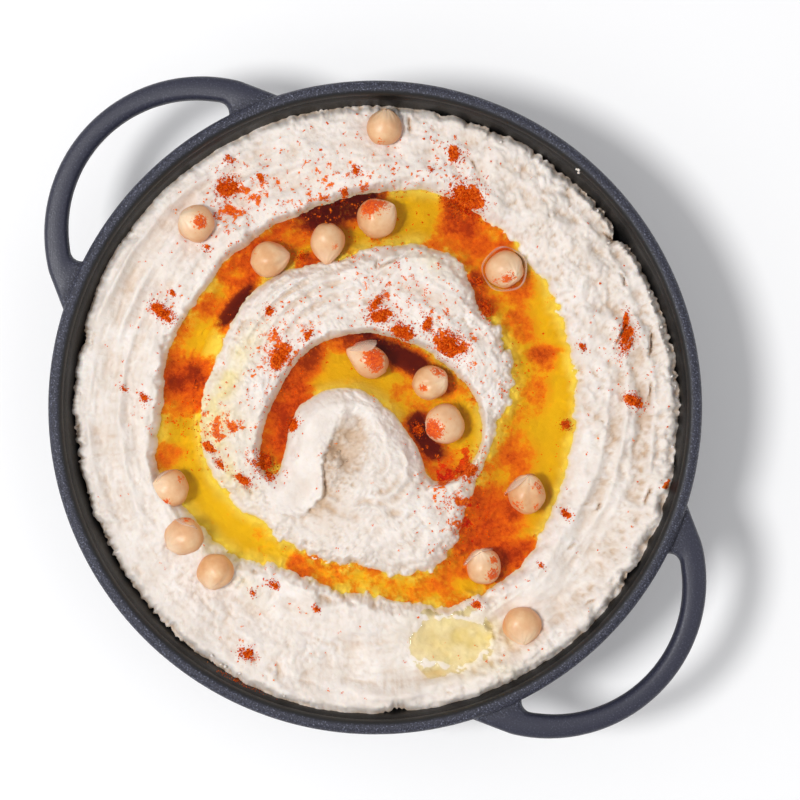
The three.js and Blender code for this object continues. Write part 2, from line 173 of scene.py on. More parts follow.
# Beak direction of each chickpea (turn, lift), its width against its length, how far the beak
# stands out, and the paprika on it: direction seen from above, how far from its top (0 to 1),
# reach and amount.
CHICKPEAS = {
    "rim_top": (128, 24, 1.00, 0.12, [(-60, 0.9, 0.45, 0.6)]),
    "rim_left": (200, 40, 1.00, 0.10, [(45, 0.35, 0.5, 1.2), (150, 0.9, 0.4, 0.4)]),
    "ring_left": (58, 8, 0.98, 0.20, [(200, 0.8, 0.4, 0.5)]),
    "ring_beak": (-48, 4, 0.98, 0.30, [(10, 0.6, 0.3, 0.6), (120, 0.95, 0.5, 0.5)]),
    "ring_paprika": (80, 20, 1.00, 0.14, [(170, 0.65, 0.65, 1.3), (120, 0.7, 0.5, 1.0)]),
    "ring_top": (10, 50, 1.00, 0.08, [(-30, 0.55, 0.5, 0.9), (-80, 0.8, 0.4, 0.7)]),
    "hook_tail": (197, 6, 0.86, 0.42, [(60, 0.4, 0.75, 1.3), (10, 0.6, 0.6, 1.1)]),
    "hook_middle": (60, 40, 1.00, 0.12, [(100, 0.8, 0.6, 0.9), (-100, 0.55, 0.35, 0.9)]),
    "hook_head": (250, 30, 1.00, 0.12, [(-110, 0.68, 0.65, 1.3), (100, 0.5, 0.4, 0.35)]),
    "ring_right": (130, 30, 0.98, 0.12, [(80, 0.7, 0.5, 0.8), (-90, 0.75, 0.5, 0.8), (-10, 0.8, 0.4, 0.7)]),
    "ring_lower": (150, 34, 1.00, 0.12, [(10, 0.65, 0.55, 1.0), (80, 0.75, 0.45, 0.9)]),
    "rim_right": (-40, 30, 1.02, 0.14, []),
    "shore_first": (215, 30, 1.00, 0.10, [(-60, 0.75, 0.35, 1.0), (80, 0.85, 0.5, 0.6)]),
    "shore_middle": (260, 30, 1.02, 0.10, [(120, 0.95, 0.45, 0.8)]),
    "shore_last": (300, 30, 1.00, 0.12, []),
}

# Loose skins: the chickpea each belongs to, where its middle points (turn, lift), how far it
# reaches round (degrees), how far it stands off and how late it flares.
SKINS = [
    ("ring_top", 0, -88, 93, 1.6, 4.0),
    ("hook_tail", 150, 22, 44, 0.8, 2.0),
    ("ring_right", 172, -8, 58, 1.0, 1.5),
    ("ring_lower", 166, -8, 56, 1.0, 1.5),
    ("shore_first", 190, -40, 80, 0.8, 1.5),
    ("shore_middle", 110, -20, 66, 0.6, 1.5),
]

# Heaps of paprika: x, y, half axes, turn, and how thick (0 to 1).
HEAPS = [
    (-25, 62, 5.2, 4.4, 20, 1.0), (2.5, 28.5, 4.4, 3.4, 15, 1.0), (-10, 21, 3.4, 2.4, 30, 1.0),
    (-21.5, 22, 1.3, 3.0, 10, 0.9), (-18, 20, 1.9, 3.4, -30, 0.8), (-6.5, 28, 1.5, 2.2, 40, 0.8),
    (-12, -35, 3.2, 2.5, -10, 1.0), (-7.6, -36.5, 1.6, 1.3, 0, 0.9), (-64, -24.5, 4.0, 2.0, 8, 1.0),
    (-66, -18.5, 1.4, 0.9, 0, 0.6), (-76.5, 15, 3.0, 3.6, 20, 0.85), (-53, 45, 1.4, 1.2, 0, 0.6),
    (-51, 38, 1.3, 1.7, 30, 0.5), (-36, 69, 3.0, 2.4, 0, 0.45), (38, 66, 2.2, 4.4, 25, 0.8),
    (34, 70, 1.1, 3.2, 40, 0.6), (52.5, 55, 3.2, 2.0, 10, 0.9), (43.5, 36, 1.8, 1.4, 0, 0.7),
    (30.5, 55.5, 1.5, 1.1, 0, 0.6), (61.5, 17.5, 1.9, 1.2, 0, 0.8), (67, 1.5, 1.2, 0.8, 0, 0.5),
    (62, -20, 1.6, 1.1, 30, 0.7), (2.5, 43.5, 2.8, 1.6, -30, 0.8), (-4.5, 48, 1.6, 1.2, 0, 0.7),
    (-50, -46, 1.8, 1.1, 0, 0.7), (-56, -48.3, 1.3, 0.8, 0, 0.6), (15.5, -58, 2.0, 1.1, 20, 0.7),
    (13, -64, 1.2, 0.8, 0, 0.8), (29.5, -54, 1.4, 0.8, 0, 0.6), (24.5, -77.5, 2.5, 1.7, 20, 1.0),
    (-30, -9, 2.6, 4.2, 8, 0.7), (-42, -2, 1.8, 1.6, 0, 0.5), (-12, -42.5, 3.0, 1.5, 10, 0.8),
    (-20.5, -44.3, 1.8, 1.2, 0, 0.7), (-26.5, -43, 2.2, 1.4, 0, 0.7), (-29, 1, 1.2, 2.4, 20, 0.5),
    (13.5, 4.0, 2.2, 1.6, 20, 0.9), (-71.5, 24, 1.4, 1.0, 0, 0.5), (76, 45, 1.2, 2.4, 10, 0.7),
    (-47, 16, 1.2, 1.4, 20, 0.6), (-38, 61, 1.1, 1.1, 0, 0.4), (-82, 21, 1.6, 1.2, 0, 0.4),
    (-68, -2, 1.6, 1.2, 0, 0.3), (33, 6, 2.4, 3.4, 0, 0.35), (-13.5, -21, 1.6, 2.0, 20, 0.9),
]  # fmt: skip

# Thin dustings of paprika on the hummus: x, y, half axes, turn and amount.
DUSTINGS = [
    (36, -3, 15, 8, -38, 1.4), (30, 10, 5, 8, 10, 0.7), (5, 33, 24, 8, 0, 0.9),
    (-58, 32, 14, 24, -30, 0.8), (-40, 52, 14, 8, 40, 0.5), (-72, 12, 8, 11, 0, 1.0),
    (-32, -9, 8, 12, 8, 1.4), (-28, -38, 15, 8, 20, 1.2), (-64, -20, 8, 6, 0, 0.5),
    (18, -56, 14, 4, 12, 0.3), (-34, 70, 9, 6, 0, 0.7), (40, 62, 12, 9, -40, 0.3),
    (24, -76, 8, 4, 10, 0.3), (62, -14, 6, 10, 0, 0.3),
    (-24, 24, 12, 12, 30, 0.7), (-52, -47, 8, 4, 0, 0.4),
]  # fmt: skip

# Oil that has crept over the hummus as a thin film: x, y, half axes, turn and amount.
FILMS = [
    (-31, -39, 10, 8, 30, 1.0), (-18, -45, 10, 4, 0, 0.8), (-36, -26, 4, 9, 15, 0.9),
    (-40, -12, 3.5, 9, 4, 0.35), (66, -31, 13, 8, 35, 0.6), (72, -22, 7, 7, 0, 0.5),
    (33, 12, 4, 12, 8, 0.3), (-20, 43, 10, 4, 10, 0.3), (-2, -63, 14, 3, 0, 0.5),
]  # fmt: skip

# What colours the oil: x, y, half axes, turn, redness (-1 clears it to yellow, 1 is red) and
# darkness. Paprika makes it red; the darkness paints it nearly brown where it is deepest, and
# is painted shade where shade falls on it.
OIL_TINTS = [
    (-49, 36, 5.0, 11, -25, 0.9, 0.95), (-54, 24, 3.5, 8, 0, 0.9, 0.7), (-50.5, -8, 2.4, 7.5, 4, 0.9, 1.0),
    (-57, 2, 3.5, 14, 0, 0.6, 0.05), (-52, 14, 4, 7, 0, 0.25, 0.0), (-56, -16, 3.5, 8, 8, 0.4, 0.0),
    (-46, -32, 5.0, 5.0, 30, 1.15, 0.5), (-41, -38, 3.5, 3.5, 0, 1.0, 0.35), (-42, -43, 3.5, 4, 40, 0.6, 0.0),
    (-33, -53, 4.5, 4.0, 40, 0.85, 0.0), (-50, -24, 3, 5, 10, -0.2, 0.0), (-36, -47, 2.5, 3, 0, -0.3, 0.0),
    (-18, -53, 12, 7, -10, -1.0, 0.0), (2, -54, 8, 5, 0, -1.0, 0.0),
    (18, -49.5, 4.5, 3.0, 10, 0.8, 0.0), (27, -44, 8, 4, 25, 0.24, 0.26), (36, -38, 8, 5, 40, 0.24, 0.26),
    (46, -28, 6, 4, 40, 0.2, 0.0), (53, -21, 5, 5, 30, 0.5, 0.05), (43, -22, 3, 4, 0, 0.3, 0.0),
    (48, 1, 8, 9, 0, 0.8, 0.1), (59, -3, 4, 6, 0, 0.95, 0.3), (51, 4, 3, 3, 0, 1.1, 0.55),
    (45, 13, 6, 6, 0, 0.6, 0.0), (56, 14, 4, 8, 0, -0.1, 0.0), (39, 21, 4, 4, 0, 0.7, 0.0),
    (52, 27, 5, 8, 0, -0.9, 0.0), (44, 32, 5, 5, 0, -0.7, 0.0), (35, 46, 5, 5, -40, -0.8, 0.0),
    (25.5, 45.7, 4.0, 3.4, -30, 0.95, 0.0), (29.6, 38.2, 2.4, 3.6, 0, 0.7, 0.0),
    (15, 48, 3.4, 2.6, 0, 0.7, 0.0),
    (20, 54, 4, 4, -20, -0.4, 0.0), (6.5, 53.5, 4, 4, 0, 0.7, 0.0), (1, 44.5, 3, 2.4, 0, 0.8, 0.0),
    (-6, 48, 3, 2.4, 0, 0.7, 0.0), (33, 31, 3, 3, 0, 0.3, 0.0),
    (-14, 56, 7, 6, 0, 0.5, 0.0), (-22, 58, 7, 6, 10, 1.1, 0.2), (-20, 49, 8, 4, 0, 0.35, 0.0),
    (-33, 49, 6, 6, 0, -0.8, 0.0), (-36, 33, 3.5, 6, 0, 0.2, 0.0), (-50, 8, 4, 4, 0, 0.1, 0.0),
    (-47, 3, 3, 5, 0, -0.4, 0.0), (-3, 16.5, 13, 3.0, 14, 1.0, 0.95), (-20, 8, 4, 5, 30, 1.0, 0.5),
    (-23, -9, 3.5, 10, 0, 1.0, 0.35), (-16, -20, 3.5, 8, 25, 0.9, 0.2), (-12, 1, 6.5, 4.5, 10, -0.9, 0.0),
    (-14, -29, 3, 4, 30, 0.6, 0.0), (12.5, 5, 5, 2.4, -20, 0.95, 1.1), (22, 3.0, 4, 2.4, 0, 0.95, 1.1),
    (2, 6, 6, 4, 0, 0.25, 0.0), (15, 21, 9, 3, -10, 0.35, 0.0), (26, 14, 4, 7, 20, -0.3, 0.0),
    (27, 3, 3, 4, 0, 0.5, 0.0), (-44, 15, 3.5, 4, 0, 0.5, 0.1),
]  # fmt: skip


# ------------------------------------------------------------------ noise and curves

# Noise takes the size of its largest features in mm, and a seed of its own at each use.
LATTICE = 512  # cells of random heights before soft noise repeats
LUMP_LATTICE = 256


def soft_noise(u, v, seed, wrap=LATTICE):
    """Value noise from -1 to 1: random heights on a unit lattice, joined by quintic steps.
    The lattice repeats every `wrap` cells along v."""
    table = np.random.default_rng(seed).uniform(-1, 1, (LATTICE, LATTICE))
    i = np.floor(u).astype(int)
    j = np.floor(v).astype(int)
    s = u - i
    t = v - j
    s = s * s * s * (s * (6 * s - 15) + 10)
    t = t * t * t * (t * (6 * t - 15) + 10)
    i0, i1 = i % LATTICE, (i + 1) % LATTICE
    j0, j1 = j % wrap, (j + 1) % wrap
    low = table[i0, j0] * (1 - s) + table[i1, j0] * s
    high = table[i0, j1] * (1 - s) + table[i1, j1] * s
    return low * (1 - t) + high * t


def layered_noise(x, y, size, seed, octaves=4, gain=0.5):
    """Soft noise summed over octaves, each half the size and turned against the last."""
    total = np.zeros_like(x)
    weight = 1.0
    norm = 0.0
    for k in range(octaves):
        turn = 0.9 + 1.7 * k
        u = (x * math.cos(turn) - y * math.sin(turn)) / size
        v = (x * math.sin(turn) + y * math.cos(turn)) / size
        total += weight * soft_noise(u + 31.7 * k, v + 11.3 * k, seed + k)
        norm += weight
        weight *= gain
        size *= 0.5
    return total / norm


def lumps(x, y, size, seed):
    """Rounded crumbs, 0 to 1: one dome stands at a random place in each cell of a lattice
    `size` mm wide, with its own reach and height, and the highest dome counts."""
    rng = np.random.default_rng(seed)
    shift_u, shift_v, reach, height = rng.uniform(0, 1, (4, LUMP_LATTICE, LUMP_LATTICE))
    i = np.floor(x / size).astype(int)
    j = np.floor(y / size).astype(int)
    best = np.zeros_like(x)
    for di in (-1, 0, 1):
        for dj in (-1, 0, 1):
            cell = (i + di) % LUMP_LATTICE, (j + dj) % LUMP_LATTICE
            du = x / size - (i + di + 0.15 + 0.7 * shift_u[cell])
            dv = y / size - (j + dj + 0.15 + 0.7 * shift_v[cell])
            wide = 0.45 + 0.45 * reach[cell]
            dome = np.sqrt(np.clip(1 - (du * du + dv * dv) / wide**2, 0, 1))
            best = np.maximum(best, dome * (0.35 + 0.65 * height[cell]))
    return best


def smoothstep(value, low, high):
    """0 below `low` and 1 above `high`, with a smooth step between them."""
    t = np.clip((value - low) / (high - low), 0, 1)
    return t * t * (3 - 2 * t)


def window(value, start, full, fading, gone):
    """Steps from 0 up to 1 between `start` and `full`, and back to 0 from `fading` to `gone`."""
    return smoothstep(value, start, full) * (1 - smoothstep(value, fading, gone))


def bell(value, width):
    """A bell curve, 1 at 0 and about a third at `width`."""
    return np.exp(-((value / width) ** 2))


def catmull_rom(a, b, c, d, t):
    """A smooth curve from b to c as t goes from 0 to 1, with a and d as its neighbours."""
    bend = 2 * b + (c - a) * t + (2 * a - 5 * b + 4 * c - d) * t**2
    return 0.5 * (bend + (3 * b - a - 3 * c + d) * t**3)


def around(values, degrees):
    """A smooth closed curve through values at equal steps round the circle."""
    values = np.asarray(values, float)
    n = len(values)
    at = (degrees / 360 * n) % n
    i = np.floor(at).astype(int)
    return catmull_rom(*(values[(i + k) % n] for k in (-1, 0, 1, 2)), at - i)


def spline(points, steps):
    """Points along a smooth curve through the given ones."""
    p = np.asarray(points, float)
    p = np.vstack([2 * p[0] - p[1], p, 2 * p[-1] - p[-2]])
    at = np.linspace(0, len(p) - 3 - 1e-9, steps)
    i = at.astype(int)
    return catmull_rom(*(p[i + k] for k in range(4)), (at - i)[:, None])


def along_and_across(x, y, px, py, turn):
    """How far a point lies from (px, py) along a direction turned by `turn`, and across it."""
    c, s = math.cos(math.radians(turn)), math.sin(math.radians(turn))
    return (x - px) * c + (y - py) * s, (y - py) * c - (x - px) * s


def oval(x, y, patch):
    """How near a point is to an oval's middle: 1 there, falling as a bell curve to about a
    third at its half axes. The patch is x, y, half axes and turn."""
    px, py, wide, tall, turn = patch[:5]
    along, across = along_and_across(x, y, px, py, turn)
    return bell(along, wide) * bell(across, tall)


def polar(x, y):
    """Radius, and degrees round from +X."""
    return np.hypot(x, y), np.degrees(np.arctan2(y, x)) % 360


def direction(turn, lift):
    """A unit vector turned from +X toward +Y and lifted toward +Z, in degrees."""
    a, b = math.radians(turn), math.radians(lift)
    return np.array([math.cos(a) * math.cos(b), math.sin(a) * math.cos(b), math.sin(b)])


# ------------------------------------------------------------------ the hummus's relief

HOOK_PATH = spline(HOOK, 90)
CORNER_RADIUS = 84.5  # of the bowl where the rounded corner ends and the wall begins
CORNER_HEIGHT = 12


def wall_radius(z):
    """Inner radius of the bowl at a height, as the CAD bowl has it: a rounded corner at the
    floor and then a wall that flares to the mouth."""
    mouth = RIM_RADIUS - 4
    up = np.clip((z - FLOOR_THICKNESS) / CORNER_HEIGHT, 0, 1)
    corner = CORNER_RADIUS * (0.9 + 0.1 * np.sqrt(1 - (1 - up) ** 2))
    wall_foot = FLOOR_THICKNESS + CORNER_HEIGHT
    return corner + (mouth - CORNER_RADIUS) * np.maximum(0, z - wall_foot) / (PAN_HEIGHT - wall_foot)


def swept_noise(x, y, across, along, seed):
    """Value noise whose cells are drawn out along the spoon's way round the dish."""
    r, degrees = polar(x, y)
    cells = max(4, round(2 * math.pi * 70 / along))
    wander = 0.6 * soft_noise(x / 9, y / 9, seed + 1)
    return soft_noise(r / across + wander, degrees / 360 * cells, seed, cells)


def hook_distance(x, y):
    """Signed distance to the hook groove's shore, and which side of its middle line a point
    is on: 1 is away from the mound and 0 toward it."""
    ahead = np.gradient(HOOK_PATH[:, :2], axis=0)
    ahead /= np.linalg.norm(ahead, axis=1)[:, None]
    distance = np.full_like(x, 1e3)
    side = np.zeros_like(x)
    for (px, py, half), (ax, ay) in zip(HOOK_PATH, ahead):
        away = np.hypot(x - px, y - py) - half
        nearer = away < distance
        distance = np.where(nearer, away, distance)
        side = np.where(nearer, (ax * (y - py) - ay * (x - px)) / half, side)
    return distance, smoothstep(side, -0.5, 0.5)


def shores(x, y):
    """Signed distances to the shores, positive on land: of the ring groove's outer side, its
    inner side, and the hook groove. Noise makes the shores uneven, most from 262 to 358 and
    from 30 to 120 degrees, where crumbs have fallen in."""
    r, degrees = polar(x, y)
    broken = window(degrees, 262, 282, 345, 358) + 0.8 * window(degrees, 30, 45, 95, 120)
    uneven = 1.6 * layered_noise(x, y, 6, 11, 3) + 1.3 * layered_noise(x, y, 2.0, 17, 3)
    uneven = (0.45 + 0.6 * broken) * uneven
    patchy = 0.7 + 1.4 * layered_noise(x, y, 12, 20, 2)
    fallen = broken * patchy * (lumps(x, y, 3.6, 19) - 0.5)
    outer = r - around(RING_OUTER, degrees) + uneven + 0.8 * fallen
    inner = around(RING_INNER, degrees) - r + uneven + 1.6 * fallen
    return outer, inner, hook_distance(x, y)[0] + 0.5 * uneven


def land_distance(outer, inner, hook):
    """Distance inland from the nearest shore, and less than 0 in a groove."""
    return np.minimum(np.maximum(outer, inner), hook)


def rounded_least(a, b):
    """The lesser of two distances, rounded off where they are alike, and 0 below 0."""
    a, b = np.maximum(a, 1e-3), np.maximum(b, 1e-3)
    return (a**-3 + b**-3) ** (-1 / 3)


def stroke_marks(x, y):
    """The long marks: across each one a round-bottomed furrow, with a lip on both sides, that
    fades in and out along its arc and varies in strength."""
    r, degrees = polar(x, y)
    wander = 0.9 * layered_noise(x, y, 16, 23, 2) + 0.3 * layered_noise(x, y, 4, 24, 2)
    strength = 0.75 + 0.6 * layered_noise(x, y, 11, 25, 2)
    total = np.zeros_like(x)
    for first, last, r0, r1, half, depth, lip in STROKES:
        along = ((degrees - first) % 360) / (last - first)
        fade = window(along, 0, 0.22, 0.75, 1.0)
        off = (r - (r0 + (r1 - r0) * np.clip(along, 0, 1)) + wander) / half
        furrow = -depth * np.clip(1 - off**2, 0, 1)
        ridge = lip * np.exp(-((np.abs(off) - 1.15) ** 2) / (0.2 / half + 0.02))
        total += fade * strength * (furrow + ridge * np.where(off > 0, 1.0, 0.45))
    return total


def fold_marks(x, y):
    """The curled folds on the mound: furrows along arcs, with the outer side pushed up."""
    total = np.zeros_like(x)
    wander = 0.8 * layered_noise(x, y, 5, 29, 3)
    strength = 0.8 + 0.8 * layered_noise(x, y, 6, 30, 2)
    for cx, cy, radius, first, last, half, depth, lip in FOLDS:
        r, degrees = polar(x - cx, y - cy)
        along = ((degrees - first) % 360) / (last - first)
        off = (r - radius + wander) / half
        profile = lip * np.exp(-((off - 1) ** 2) / 0.35) - depth * np.exp(-(off**2) / 0.4)
        total += window(along, 0, 0.25, 0.7, 1.0) * strength * profile
    return total


def tear_marks(x, y):
    """The tears: narrow slits, deepest in the middle, each with one raised side."""
    total = np.zeros_like(x)
    wander = 0.45 * layered_noise(x, y, 2, 31, 2)
    for px, py, length, turn, depth in TEARS:
        along, across = along_and_across(x, y, px, py, turn)
        across = across + wander
        slit = np.exp(-(across**2) / 0.14)
        raised = 0.5 * np.exp(-((across - 0.9) ** 2) / 0.8)
        total += np.exp(-((along / (length / 2)) ** 4)) * depth * (raised - slit)
    return total


def crumble(x, y):
    """How broken the surface is, 0 where smoothed to 1 where it has fallen into crumbs."""
    r, _ = polar(x, y)
    total = 0.40 + 0.35 * smoothstep(r, HUMMUS_EDGE - 6, HUMMUS_EDGE)
    for *patch, amount in CRUMBLED:
        total = total + amount * np.minimum(1, 1.5 * oval(x, y, patch))
    total += 0.55 * layered_noise(x, y, 8, 37, 3)
    return np.clip(total, 0.04, 1)


def past_swath(x, y):
    """How far a point lies past the edge of the mound's smooth swath, along +X."""
    return x - np.interp(y, SWATH_EDGE_Y, SWATH_EDGE_X)


def mound_marks(x, y):
    """The mound: a smooth swath that ends in a ragged cliff, and past it a broad hollow that
    rises again into the folds, with a torn-up peak beside the cliff."""
    past = past_swath(x, y) - 1.9 * layered_noise(x, y, 3.0, 41, 3, 0.6)
    steep = window(y, -44.5, -40, -19, -9) * smoothstep(x, -24, -12)
    tall = 2.4 - 1.5 * smoothstep(-y, 26, 34)
    cliff = -tall * np.exp(-np.maximum(past, 0) / 4.0) * smoothstep(past, 0, 0.8)
    lip = 0.5 * np.exp(-((past + 0.8) ** 2) / 1.2)
    hollow = -5.4 * window(past, -0.5, 7.5, 8, 15) * np.exp(-(((y + 13.5) / 10) ** 4))
    hollow -= 2.0 * np.exp(-((x - 0.8) ** 2 + (y + 17.2) ** 2) / 3.0)
    hollow -= 1.6 * bell(x - 9, 8) * bell(y + 31, 8) * smoothstep(past, -0.5, 2.0)
    torn = 1 + 0.9 * layered_noise(x, y, 1.6, 42, 3, 0.65)
    off = np.hypot((x - 3.3) * 0.9 + (y + 19.2) * 0.3, (y + 19.2) * 0.75)
    peak = 3.6 * np.clip(1 - off * torn / 1.5, 0, 1) ** 0.8
    peak += 1.8 * bell(x - 7.5, 4.5) * bell(y + 23, 4) * torn
    return steep * (cliff + lip) + hollow + peak


def swath_share(x, y):
    """1 on the swath that the back of the spoon has smoothed, 0 off it."""
    return window(-past_swath(x, y), 0.0, 2.0, 12, 16) * window(y, -43, -38, -9, -3)


def patch_share(x, y):
    """1 at the middle of the thin pool on the outer ring, 0 at its uneven edge."""
    along, across = along_and_across(x, y, *PATCH_MIDDLE, 42)
    uneven = 0.8 * layered_noise(x, y, 7, 43, 3) + 0.5 * layered_noise(x, y, 2.4, 44, 3)
    return 1 - (along / 10.5) ** 2 - (across / 6.6) ** 2 + uneven


def heap_share(x, y):
    """How much of a heap of paprika lies here: 1 at its middle, 0 at its uneven edge."""
    uneven = 1.5 * layered_noise(x, y, 2.8, 45, 4, 0.75)
    best = np.full_like(x, -1.0)
    for hx, hy, wide, tall, turn, thick in HEAPS:
        along, across = along_and_across(x, y, hx, hy, turn)
        share = 0.8 - (along / wide) ** 2 - (across / tall) ** 2 + uneven - 0.6 * (1 - thick)
        best = np.maximum(best, share)
    return best


def groove_bed(r, outer, inner, hook, shelf):
    """Height of the bed under the oil: from each shore it falls as a quarter of a sine wave,
    over the bed's width. The shelf is a part of the ring's inner side that falls slowly."""
    bed_width = BED_WIDTH * (1 + 0.9 * shelf * (r < 54))
    in_ring = rounded_least(-outer, -inner)
    hook_share = np.clip(-hook / 8.0, 0, 1)
    in_hook = 8.0 * hook_share * (1 - 0.5 * hook_share)
    wet = np.maximum(in_ring / bed_width, 1.4 * in_hook / BED_WIDTH)
    return OIL_LEVEL - OIL_DEPTH * np.sin(np.pi / 2 * np.clip(wet, 0, 1))


def bank_climb(x, y, degrees, outer, inner, hook):
    """How far a bank has climbed from its shore, 0 to about 1: straight and sharp where the
    spoon's edge cut it, slowly rounded where its back pressed it. Noise makes it flaky."""
    flaky = 1.1 * layered_noise(x, y, 3.2, 77, 3, 0.65)

    def climb_from(distance, roughness, width, sharp):
        """The climb at a distance from one shore, on a bank of that width and sharpness."""
        distance = distance + roughness * flaky * smoothstep(distance, 0.4, 2)
        share = np.maximum(distance, 0) / width
        return sharp * np.clip(share, 0, 1) ** 0.9 + (1 - sharp) * (1 - np.exp(-2.2 * share))

    ring_width = np.where(outer > 0, around(OUTER_BANK, degrees), around(INNER_BANK, degrees))
    from_ring = climb_from(np.maximum(outer, inner), 1.0, ring_width, around(CREST_CRISPNESS, degrees))
    side = hook_distance(x, y)[1]
    from_hook = climb_from(hook, 0.8, 5.0 - 3.3 * side, 0.5 + 0.4 * side)
    return np.minimum(from_ring, from_hook)


def crumbs_and_streaks(x, y, r, degrees, land, shelf):
    """The small relief: crumbs of three sizes where the paste is broken, streaks along the
    spoon's way where it is smooth, and a fine grain. It is faint on the swath and under oil."""
    broken = crumble(x, y)
    coarse = (lumps(x, y, 4.4, 51) - 0.5) * (0.8 + 0.9 * layered_noise(x, y, 7, 52, 2))
    middle = (lumps(x + 3, y, 2.3, 53) - 0.5) * (0.7 + 1.0 * layered_noise(x, y, 5, 54, 2))
    fine = (lumps(x, y + 5, 1.25, 57) - 0.5) * (0.5 + 0.9 * layered_noise(x, y, 4, 58, 2))
    crumbs = 1.3 * coarse * broken + 1.05 * middle + 0.85 * fine
    flakes = window(degrees, 118, 140, 205, 225) * (r < 52)
    streaks = swept_noise(x, y, 1.1, 4.5, 59) + 0.7 * swept_noise(x, y, 0.6, 3, 61)
    streaks = streaks * (1 + 0.8 * flakes)
    grain = layered_noise(x, y, 1.6, 67, 3, 0.7)
    total = (0.1 + 0.9 * broken**1.3) * crumbs
    total += 0.29 * streaks * (1 - broken)
    total += (0.2 + 0.4 * broken) * grain
    total += 0.5 * layered_noise(x, y, 4.5, 71, 2) * (0.4 + broken)
    amount = np.where(land > 0, 0.4 + 0.6 * smoothstep(land, 0, 0.7), 0.25 + 0.35 * shelf)
    return amount * (1 - 0.8 * swath_share(x, y)) * total


def relief(x, y):
    """Height of the hummus in mm: beds under the oil, banks that climb to the crests, the
    spoon's marks, crumbs and streaks on all of it, and the basin of the thin pool."""
    r, degrees = polar(x, y)
    outer, inner, hook = shores(x, y)
    land = land_distance(outer, inner, hook)
    shelf = window(degrees, 192, 205, 232, 245)
    climb = bank_climb(x, y, degrees, outer, inner, hook)

    # The banks and what is cut into them, the torn edge toward 12 degrees, and the fall to the
    # wall.
    rise = climb * (CREST + 1.5 * layered_noise(x, y, 26, 47, 2) + 1.5 * layered_noise(x, y, 9, 48, 2))
    torn = 1 - smoothstep(np.abs((degrees - 12 + 180) % 360 - 180), 28, 48)
    torn *= smoothstep(r, HUMMUS_EDGE - 13, HUMMUS_EDGE - 4)
    rise += 1.8 * torn * layered_noise(x, y, 5.5, 49, 3, 0.6)
    rise -= around(WALL_FALL, degrees) * smoothstep(r, HUMMUS_EDGE - 11, HUMMUS_EDGE) ** 1.6
    marks = stroke_marks(x, y) + fold_marks(x, y) + tear_marks(x, y) + mound_marks(x, y)
    z = np.where(land > 0, OIL_LEVEL + rise + marks * climb, groove_bed(r, outer, inner, hook, shelf))
    z += crumbs_and_streaks(x, y, r, degrees, land, shelf)

    heap = np.clip(heap_share(x, y), 0, 1)
    z += 0.6 * heap**0.6 * (0.7 + 0.8 * layered_noise(x, y, 1.2, 75, 2))

    # Round the thin pool the surface comes down to the pool's own level.
    share = patch_share(x, y)
    basin = PATCH_LEVEL - 0.8 * share + 0.4 * layered_noise(x, y, 2.6, 73, 3)
    shore = PATCH_LEVEL + 0.45 + 1.1 * layered_noise(x, y, 2.6, 79, 4, 0.7)
    near_patch = 0.92 * smoothstep(share, -1.6, -0.3)
    z = z * (1 - near_patch) + shore * near_patch
    z = np.where(share > -0.6, np.minimum(z, basin), z)
    return np.minimum(z, PAN_HEIGHT - 1.6)


# ------------------------------------------------------------------ meshes


def stacked(x, y, z):
    """Points, one to a row, from arrays of x, y and z."""
    return np.stack(np.broadcast_arrays(x, y, z), -1).reshape(-1, 3)


def mesh_piece(name, points, faces, material, slot=None, smooth=True):
    """Makes a piece from points in mm and its faces, shades it and lets it ride on the pan."""
    mesh = bpy.data.meshes.new(name)
    mesh.from_pydata((np.asarray(points, float) / METRE).tolist(), [], faces)
    mesh.update()
    if smooth:
        mesh.shade_smooth()
    mesh.materials.append(material)
    piece = bpy.data.objects.new(name, mesh)
    bpy.context.collection.objects.link(piece)
    if slot:
        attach(piece, "root")
    return piece


def set_value(piece, name, values):
    """Stores one number for each point of a piece, for its material to read."""
    layer = piece.data.attributes.new(name, "FLOAT", "POINT")
    layer.data.foreach_set("value", np.asarray(values, np.float32).ravel())


def outward(piece):
    """Turns a closed piece's faces outward."""
    shape = bmesh.new()
    shape.from_mesh(piece.data)
    bmesh.ops.recalc_face_normals(shape, faces=shape.faces)
    shape.to_mesh(piece.data)
    shape.free()


def apply_modifier(piece, name):
    """Turns a modifier's result into the piece's own mesh."""
    with bpy.context.temp_override(object=piece, active_object=piece):
        bpy.ops.object.modifier_apply(modifier=name)


def grid_faces(rows, columns, start=0, closed=False):
    """Quads of a grid of points stored row by row; a closed grid joins its last column to its
    first."""
    across = columns if closed else columns - 1
    i, j = np.meshgrid(np.arange(rows - 1), np.arange(across), indexing="ij")
    k = (j + 1) % columns
    quads = np.stack([i * columns + j, i * columns + k, (i + 1) * columns + k, (i + 1) * columns + j], -1)
    return (quads.reshape(-1, 4) + start).tolist()


def band(first, second):
    """Quads between two closed rings of point numbers."""
    return np.stack([first, np.roll(first, -1), np.roll(second, -1), second], -1).tolist()


def fan(ring, middle):
    """Triangles from a closed ring of point numbers to one middle point."""
    return np.stack([ring, np.roll(ring, -1), np.full(len(ring), middle)], -1).tolist()


def capped_rings(rings, columns):
    """Faces of rings of points stored one after another, closed at both ends by fans to two
    points stored after them: the first ring's and then the last ring's."""
    faces = grid_faces(rings, columns, 0, closed=True)
    first = np.arange(columns)
    total = rings * columns
    return faces + fan(first[::-1], total) + fan(first + total - columns, total + 1)


def arc(cx, cy, radius, start, stop, steps):
    """Points along an arc, in degrees."""
    a = np.radians(np.linspace(start, stop, steps))
    return np.stack([cx + radius * np.cos(a), cy + radius * np.sin(a)], -1)


# ------------------------------------------------------------------ materials


